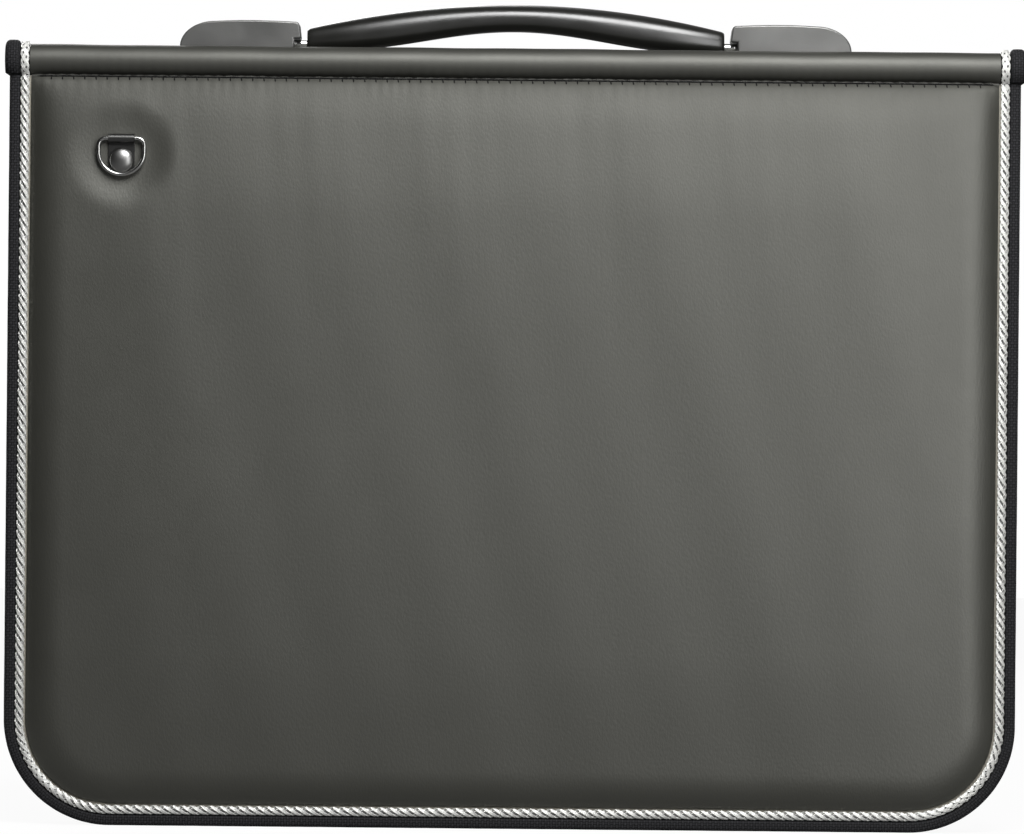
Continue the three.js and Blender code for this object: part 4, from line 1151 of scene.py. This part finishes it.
for side, sign in (("front", 1), ("back", -1)):
    for label, line, material, slot in (("outer", OUTER_HINGE, ROLL_SKIN, "grained_cover"),
                                        ("inner", INNER_HINGE, LINING_SKIN, "lining")):
        hinge_line = soften(line, HINGE_POINTS) * np.array([sign, 1.0])
        hinge = strip(f"{side}_{label}_hinge", hinge_line, PADDING_END - HINGE_THICKNESS,
                      HINGE_THICKNESS, material)
        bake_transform(hinge)
print("hinge strips: 4")

# %% [markdown]
# Round bars and turned parts are rings of points along a line. A wire's rings stand square to
# its path; a turned part's rings have the radius that its profile gives at each depth.

# %% Helpers for wires and turned parts
NEAR_POLE = 0.97


def wire(path, radius, plane_normal, loop=False, sides=16):
    """Circles of the given radius round a path that lies in one plane."""
    path = np.asarray(path, float)
    if loop:
        tangent = np.roll(path, -1, 0) - np.roll(path, 1, 0)
    else:
        tangent = np.gradient(path, axis=0)
    tangent /= np.linalg.norm(tangent, axis=1, keepdims=True)
    return tube(path, np.cross(tangent, plane_normal), plane_normal, radius, radius, sides)


def lathe(profile, centre, axis, sides):
    """Rings of (depth along the level axis, radius) round a centre."""
    depth, radius = np.asarray(profile, float).T
    first = np.cross(axis, Z_AXIS)
    rim = tube(np.zeros((1, 3)), first, np.cross(axis, first), 1.0, 1.0, sides)
    return np.asarray(centre) + axis * depth[:, None, None] + rim * radius[:, None, None]


def dome(radius, height, base, steps):
    """Profile of a dome: a quarter ellipse from its rim to nearly its pole."""
    angle = np.linspace(0, math.pi / 2 * NEAR_POLE, steps)
    return [(base + height * math.sin(a), radius * math.cos(a)) for a in angle]


def arc_points(centre, radii, start, end, count):
    """(a, b) points of an arc, with both ends: of a circle, or of an ellipse with two radii."""
    angle = np.radians(np.linspace(start, end, count))
    return np.array(centre) + np.stack([np.cos(angle), np.sin(angle)], 1) * radii


def extruded(outline, low, high, along="y"):
    """An outline of (a, b) points between two places on an axis, as a closed skin of two rings."""
    outline = np.asarray(outline, float)
    rings = []
    for place in (low, high):
        fixed = np.full(len(outline), place)
        if along == "y":
            rings.append(np.column_stack([outline[:, 0], fixed, outline[:, 1]]))
        else:
            rings.append(np.column_stack([fixed, outline[:, 0], outline[:, 1]]))
    return np.array(rings)

# %% [markdown]
# The grip is one moulding: thick and arched in the middle, narrow at its pins. Its top is a wide
# arc, its underside a cosine arch, and each cross-section a softened ellipse.

# %% Handle grip, pins and lugs
GRIP_END = 95.5
GRIP_PEAK = 376.58
GRIP_TOP_RADIUS = 390.0
PIN_LEVEL = 357.88
PIN_RADIUS = 1.9
PIN_PROFILE = ((88.8, 1.5), (89.2, PIN_RADIUS), (107.8, PIN_RADIUS), (108.2, 1.5))
GRIP_END_LIFT = 2.1
GRIP_ARCH = 9.6
GRIP_END_WIDTH = 8.4
GRIP_SWELL = 9.6
GRIP_SOFTNESS = 0.85
GRIP_ARCH_POWER = 2.5
GRIP_TAPER_POWER = 5
GRIP_STEPS = 110
GRIP_FULL_SHARE = 0.985
GRIP_END_SHARES = np.array([0.995, 1.0])
GRIP_END_SIZES = np.array([0.96, 0.86])
LUG_BOTTOM = 353.33
LUG_TOP = 367.7
LUG_STEP = 360.08
LUG_INNER, LUG_OUTER = 101.5, 153.6
LUG_BEND = (137.6, 356.0)
LUG_CROWN = ((132.0, 0.3), (126.0, 0.5), (118.0, 0.5), (110.0, 0.3), (100.6, -0.1), (99.4, -0.5),
             (98.9, -1.7))
LUG_HOOD_TIP = 98.2
LUG_HALF_DEPTH = 8.0


def grip_rings():
    """Soft ellipse at every station between the top arc and the arched underside; the last two
    stations at each end shrink a little, which rounds the end faces."""
    full = np.linspace(-GRIP_FULL_SHARE, GRIP_FULL_SHARE, GRIP_STEPS)
    t = np.concatenate([-GRIP_END_SHARES[::-1], full, GRIP_END_SHARES])
    shrink = np.concatenate([GRIP_END_SIZES[::-1], np.ones(GRIP_STEPS), GRIP_END_SIZES])
    x = t * GRIP_END
    top = GRIP_PEAK - x ** 2 / (2 * GRIP_TOP_RADIUS)
    arch = np.clip(np.cos(t * math.pi / 2), 0, 1) ** GRIP_ARCH_POWER
    bottom = SADDLE_HEIGHT + GRIP_END_LIFT + GRIP_ARCH * arch
    width = GRIP_END_WIDTH + GRIP_SWELL * (1 - np.abs(t) ** GRIP_TAPER_POWER)
    c, s = squared_circle(GRIP_SOFTNESS, count=44)
    y = (shrink * width / 2)[:, None] * c[None, :]
    z = ((top + bottom) / 2)[:, None] + (shrink * (top - bottom) / 2)[:, None] * s[None, :]
    return np.stack([np.broadcast_to(x[:, None], y.shape), y, z], 2)


grip = grip_rings()
make_piece("moulded_grip", grip, skin(grip)[0], GRIP_PLASTIC, "handle", ["handle_grip"])

lug_outline = np.vstack([
    [(LUG_INNER, LUG_BOTTOM), (LUG_OUTER, LUG_BOTTOM)],
    arc_points(LUG_BEND, (LUG_OUTER - LUG_BEND[0], LUG_TOP - LUG_BEND[1]), 0, 90, 22),
    [(x, LUG_TOP + rise) for x, rise in LUG_CROWN],
    [(LUG_HOOD_TIP, LUG_STEP), (LUG_INNER, LUG_STEP)],
])
for side, sign in (("left", -1), ("right", 1)):
    rings = extruded(lug_outline * np.array([sign, 1.0]), -LUG_HALF_DEPTH, LUG_HALF_DEPTH)
    lug = make_piece(f"{side}_moulded_lug", rings, skin(rings)[0], LUG_PLASTIC, "spine",
                     [f"{side}_handle_lug"])
    bevelled(lug, width=0.7)
    pin = lathe(PIN_PROFILE, PIN_LEVEL * Z_AXIS, sign * X_AXIS, sides=32)
    make_piece(f"{side}_bright_pin", pin, skin(pin)[0], CHROME, "spine",
               [f"{side}_handle_pin"])
print("grip:", round(grip[:, :, 2].min(), 1), "to", round(grip[:, :, 2].max(), 1), "mm high")

# %% [markdown]
# The strap ring is a D of round wire, welded in its bar. A plated strip is folded over the bar and
# riveted through the cover with a broad domed rivet, which pulls the padding in round it.

# %% Strap rings, clips and rivets
RING_REACH = 10.4
RING_SIDE = 6.1
RING_WIRE = 1.05
RING_CORNER = 3.2
BAR_DEPTH = 22.75
BAR_HEIGHT = 312.98
CLIP_HALF_WIDTH = 6.0
CLIP_THICKNESS = 0.72
CLIP_TAIL = 3.0
CLIP_TAIL_SHARE = 0.72
CLIP_MIDDLE = 21.0
CLIP_FOOT, CLIP_NECK = 296.6, 311.4
CURL_RADIUS = 1.75
CURL_SWEEP = 285
RIVET_TAIL_RADIUS = 3.4
RIVET_SHANK_RADIUS = 2.0
RIVET_FLANGE_RADIUS = 5.0
RIVET_TAIL_START, RIVET_TAIL_END, RIVET_HEAD_START = 13.6, 14.2, 21.75


def strap_ring_path():
    """A bar with rounded corners on top, two short sides and a half round below."""
    corners = [arc_points((RING_X + sign * (RING_REACH - RING_CORNER), BAR_HEIGHT - RING_CORNER),
                          RING_CORNER, start, start - 90, 6) for sign, start in ((-1, 180), (1, 90))]
    round_part = arc_points((RING_X, BAR_HEIGHT - RING_SIDE), RING_REACH, 0, -180, 40)
    flat = np.vstack([*corners, round_part])
    return np.column_stack([flat[:, 0], np.full(len(flat), -BAR_DEPTH), flat[:, 1]])


def clip_line():
    """(y, z) line of the folded strip: up behind the rivet, then round the bar."""
    tail = [(-CLIP_MIDDLE, z) for z in np.linspace(CLIP_FOOT, CLIP_NECK, 6)]
    curl = arc_points((-BAR_DEPTH, BAR_HEIGHT), CURL_RADIUS, 0, CURL_SWEEP, 26)
    return np.vstack([tail, curl])


def clip_rings():
    """Strip of even thickness along the folded line, narrower at its round tail."""
    line = clip_line()
    normal = CLIP_THICKNESS / 2 * left_of(line)
    full = ease(walked_along(line) / CLIP_TAIL)
    half = CLIP_HALF_WIDTH * (CLIP_TAIL_SHARE + (1 - CLIP_TAIL_SHARE) * full)
    rings = []
    for place, out, width in zip(line, normal, half):
        section = [(-width, place - out), (width, place - out),
                   (width, place + out), (-width, place + out)]
        rings.append([(RING_X + x, *yz) for x, yz in section])
    return np.array(rings)


ring_path = strap_ring_path()
rivet_profile = [(RIVET_TAIL_START, RIVET_TAIL_RADIUS), (RIVET_TAIL_END, RIVET_TAIL_RADIUS),
                 (RIVET_TAIL_END, RIVET_SHANK_RADIUS), (RIVET_HEAD_START, RIVET_SHANK_RADIUS),
                 (RIVET_HEAD_START, RIVET_FLANGE_RADIUS)]
rivet_profile += dome(radius=5.7, height=2.5, base=21.9, steps=12)
for side in ("front", "back"):
    rings = wire(ring_path, RING_WIRE, Y_AXIS, loop=True)
    make_piece(f"{side}_strap_ring_wire", turned(rings, side), skin(rings, loop=True)[0], RING_NICKEL,
               f"{side}_ring", [f"{side}_strap_ring"])
    rings = clip_rings()
    clip = make_piece(f"{side}_folded_clip", turned(rings, side), skin(rings)[0], CLIP_NICKEL,
                      f"{side}_cover", [f"{side}_strap_clip"])
    bevelled(clip, width=0.12, steps=2)
    rings = lathe(rivet_profile, (RING_X, 0.0, RIVET_HEIGHT), -Y_AXIS, sides=48)
    make_piece(f"{side}_domed_rivet", turned(rings, side), skin(rings)[0], DARK_NICKEL, f"{side}_cover",
               [f"{side}_strap_rivet"])
print("strap ring:", round(2 * RING_REACH + 2 * RING_WIRE, 1), "mm wide")

# %% [markdown]
# Four snap rings hold the sleeves. Each half ring is a bent wire: a straight leg under its carrier
# and a quarter circle to the middle, where its end nearly meets the other half.

# %% Half rings
RING_PITCH = 80.0
WIRE_RADIUS = 1.5
LOOP_RADIUS = 9.0
LOOP_HEIGHT = 332.5
LEG_TOP = 337.6
LEG_BOTTOM = 335.0
LOOP_SWEEP = 89
RINGS = 4

for side, sign in (("front", -1), ("back", 1)):
    leg = [(LOOP_RADIUS, LEG_TOP), (LOOP_RADIUS, LEG_BOTTOM)]
    loop = arc_points((0.0, LOOP_HEIGHT), LOOP_RADIUS, 0, -LOOP_SWEEP, 24)
    bent = np.vstack([leg, loop])
    for number in range(RINGS):
        x = (number - (RINGS - 1) / 2) * RING_PITCH
        path = np.column_stack([np.full(len(bent), x), sign * bent[:, 0], bent[:, 1]])
        rings = wire(path, WIRE_RADIUS, X_AXIS)
        make_piece(f"{side}_snap_ring_{number + 1}", rings, skin(rings)[0], STEEL, f"{side}_rings",
                   [f"{side}_half_ring_{number + 1}"])
print("half rings:", 2 * RINGS)

# %% [markdown]
# Two sliders run on the zip, one down each side. Each has a shield-shaped body, a wire bridge and
# a flat pull tab with a slot, cast in zinc and lacquered black.

# %% Zip sliders and pull tabs
SLIDER_FACE = 225.8
SLIDER_LEVEL = 323.98
SLIDER_THICKNESS = 1.5
SHOULDER_RISE, SHOULDER_RADII = 4.2, (5.0, 2.8)
TAIL_DROP, TAIL_RADII = 4.8, (3.9, 2.2)
BRIDGE_WIRE = 0.62
BRIDGE_FOOT, BRIDGE_RADII = 1.2, (2.2, 4.1)
PULL_LEVEL = 321.98
TAB_NEAR, TAB_FAR = 1.8, 2.9
TAB_HALF_WIDTH = 3.5
TAB_ABOVE, TAB_BELOW = 0.55, 24.0
SLOT_HALF_WIDTH = 1.8
SLOT_START, SLOT_END = 0.75, 8.0


def slider_outline():
    """(y, z) shield: broad shoulders where the chain comes in, narrow where it leaves."""
    shoulder = arc_points((0.0, SLIDER_LEVEL + SHOULDER_RISE), SHOULDER_RADII, 0, 180, 14)
    tail = arc_points((0.0, SLIDER_LEVEL - TAIL_DROP), TAIL_RADII, 180, 360, 14)
    return np.vstack([shoulder, tail])


def stadium(half_width, top, bottom, count=12):
    """(y, z) outline with round ends, from top to bottom; its points go round from the right."""
    upper = arc_points((0.0, top - half_width), half_width, 0, 180, count)
    lower = arc_points((0.0, bottom + half_width), half_width, 180, 360, count)
    return np.vstack([upper, lower])


for side, sign in (("left", -1), ("right", 1)):
    rings = extruded(slider_outline(), sign * SLIDER_FACE, sign * (SLIDER_FACE + SLIDER_THICKNESS), "x")
    parts = [(rings, skin(rings)[0], np.zeros((1, 2)))]
    bridge = arc_points((SLIDER_FACE + BRIDGE_FOOT, SLIDER_LEVEL), BRIDGE_RADII, 90, -90, 20)
    path = np.column_stack([sign * bridge[:, 0], np.zeros(len(bridge)), bridge[:, 1]])
    arch = wire(path, BRIDGE_WIRE, Y_AXIS, sides=10)
    parts.append((arch, skin(arch)[0], np.zeros((1, 2))))
    points, faces, _ = merge(parts)
    slider = make_piece(f"{side}_slider_body", points, faces, ZIP_METAL, f"{side}_slider",
                        [f"{side}_zip_slider"])
    bevelled(slider, width=0.3)
    near, far = sign * (SLIDER_FACE + TAB_NEAR), sign * (SLIDER_FACE + TAB_FAR)
    outer = stadium(TAB_HALF_WIDTH, PULL_LEVEL + TAB_ABOVE, PULL_LEVEL - TAB_BELOW)
    inner = stadium(SLOT_HALF_WIDTH, PULL_LEVEL - SLOT_START, PULL_LEVEL - SLOT_END)
    tab = np.concatenate([extruded(outer, near, far, "x"), extruded(inner, far, near, "x")])
    pull = make_piece(f"{side}_pull_tab", tab, grid_faces(4, len(outer), loop_rows=True).tolist(),
                      ZIP_METAL, f"{side}_puller", [f"{side}_zip_puller"])
    bevelled(pull, width=0.2)
print("zip sliders: 2")

# %% [markdown]
# A plain pale floor and soft studio light. The key light is a softbox high in front, a little to
# the right, which draws the highlight along the rolls and the grip. A weak one low on the right
# lifts that half of the cover, as in the photograph, and one behind lights the back cover.
# The white background is what the camera, and the metal, see of the floor and the world. The room
# in front of the case, behind the camera, is dim, as in a studio, so metal has something to mirror.

# %% Floor, world and lamps
FLOOR_HALF = 4.0
ROOM_SHADE = 0.03
AMBIENT_SHADE = 0.08
FLOOR_GREY = 0.10
FLOOR_ROUGHNESS = 0.95
FLOOR_PALE = 0.85
FLOOR_WHITE_SHARE = 0.94
FLOOR_GLOSS_SHARE = 0.16
ROOM_BACK_SHADE = 0.25
ROOM_TURN_START, ROOM_TURN_END = -0.1, 0.7
WHITE = (1.0, 1.0, 1.0, 1.0)


def seen_directly(tree, glossy_share=1.0):
    """1 where a camera or transmission ray arrives, the share for a glossy ray, 0 for others."""
    path = tree.nodes.new("ShaderNodeLightPath")
    camera_ray, clear_ray = path.outputs["Is Camera Ray"], path.outputs["Is Transmission Ray"]
    straight = math_node(tree, "MAXIMUM", camera_ray, clear_ray)
    mirrored = math_node(tree, "MULTIPLY", path.outputs["Is Glossy Ray"], glossy_share)
    return math_node(tree, "MAXIMUM", straight, mirrored)


def mix_surfaces(tree, share, first, second, end):
    """Shows the first shader, giving way to the second by a share, at a tree's end node."""
    mix = tree.nodes.new("ShaderNodeMixShader")
    tree.links.new(share, mix.inputs["Fac"])
    tree.links.new(first.outputs[0], mix.inputs[1])
    tree.links.new(second.outputs[0], mix.inputs[2])
    tree.links.new(mix.outputs[0], tree.nodes[end].inputs["Surface"])


def floor_finish():
    """Pale floor that shows white, with only the object's shadow left on it. Light that bounces
    finds it darker, as the table in a studio is, so it doesn't fill the shadows from below."""
    material = bpy.data.materials.new("pale floor")
    material.use_nodes = True
    tree = material.node_tree
    shader = tree.nodes["Principled BSDF"]
    tone(tree, shader, seen_directly(tree, 0.0), (FLOOR_GREY,) * 3, (FLOOR_PALE,) * 3)
    shader.inputs["Roughness"].default_value = FLOOR_ROUGHNESS
    white = tree.nodes.new("ShaderNodeEmission")
    white.inputs["Color"].default_value = WHITE
    share = math_node(tree, "MULTIPLY", seen_directly(tree, FLOOR_GLOSS_SHARE), FLOOR_WHITE_SHARE)
    mix_surfaces(tree, share, shader, white, "Material Output")
    return material


floor_mesh = bpy.data.meshes.new("floor")
floor_mesh.from_pydata([(-FLOOR_HALF, -FLOOR_HALF, 0), (FLOOR_HALF, -FLOOR_HALF, 0),
                        (FLOOR_HALF, FLOOR_HALF, 0), (-FLOOR_HALF, FLOOR_HALF, 0)], [], [(0, 1, 2, 3)])
floor_mesh.materials.append(floor_finish())
floor = bpy.data.objects.new("floor", floor_mesh)
bpy.context.scene.collection.objects.link(floor)


def studio_world():
    """Dim even light for whatever bounces; rays that go straight on find white; mirrors find a
    room that is dim in front of the case and lighter behind it."""
    world = bpy.data.worlds.new("studio")
    world.use_nodes = True
    tree = world.node_tree
    ambient = tree.nodes["Background"]
    ambient.inputs["Color"].default_value = (AMBIENT_SHADE, AMBIENT_SHADE, AMBIENT_SHADE, 1.0)
    heading = tree.nodes.new("ShaderNodeSeparateXYZ")
    tree.links.new(tree.nodes.new("ShaderNodeTexCoord").outputs["Generated"], heading.inputs[0])
    sweep = tree.nodes.new("ShaderNodeMapRange")
    sweep.interpolation_type = "SMOOTHSTEP"
    span = {"From Min": ROOM_TURN_START, "From Max": ROOM_TURN_END,
            "To Min": ROOM_SHADE, "To Max": ROOM_BACK_SHADE}
    for label, value in span.items():
        sweep.inputs[label].default_value = value
    tree.links.new(heading.outputs["Y"], sweep.inputs["Value"])
    direct = tree.nodes.new("ShaderNodeBackground")
    level = math_node(tree, "MAXIMUM", seen_directly(tree, 0.0), sweep.outputs["Result"])
    tree.links.new(level, direct.inputs["Color"])
    mix_surfaces(tree, seen_directly(tree), ambient, direct, "World Output")
    return world


bpy.context.scene.world = studio_world()


def softbox(name, place, aim, size, power):
    """Rectangular lamp that looks at a point; places are in metres."""
    data = bpy.data.lights.new(name, "AREA")
    data.shape = "RECTANGLE"
    data.size, data.size_y = size
    data.energy = power
    lamp = bpy.data.objects.new(name, data)
    lamp.location = place
    lamp.rotation_euler = (Vector(aim) - Vector(place)).to_track_quat("-Z", "Y").to_euler()
    bpy.context.scene.collection.objects.link(lamp)


softbox("key", place=(0.15, -0.74, 0.94), aim=(0.02, 0.0, 0.30), size=(0.6, 0.55), power=17.0)
softbox("side", place=(0.50, -1.05, 0.25), aim=(0.15, 0.0, 0.2), size=(0.4, 0.7), power=5.0)
softbox("back", place=(-0.50, 1.40, 1.00), aim=(0.0, 0.0, 0.2), size=(1.0, 0.9), power=16.0)
print("lamps:", len(bpy.data.lights))

# %% [markdown]
# The view transform is set to Standard, so a colour renders as it is written.

# %% Finish
bpy.context.scene.view_settings.view_transform = "Standard"
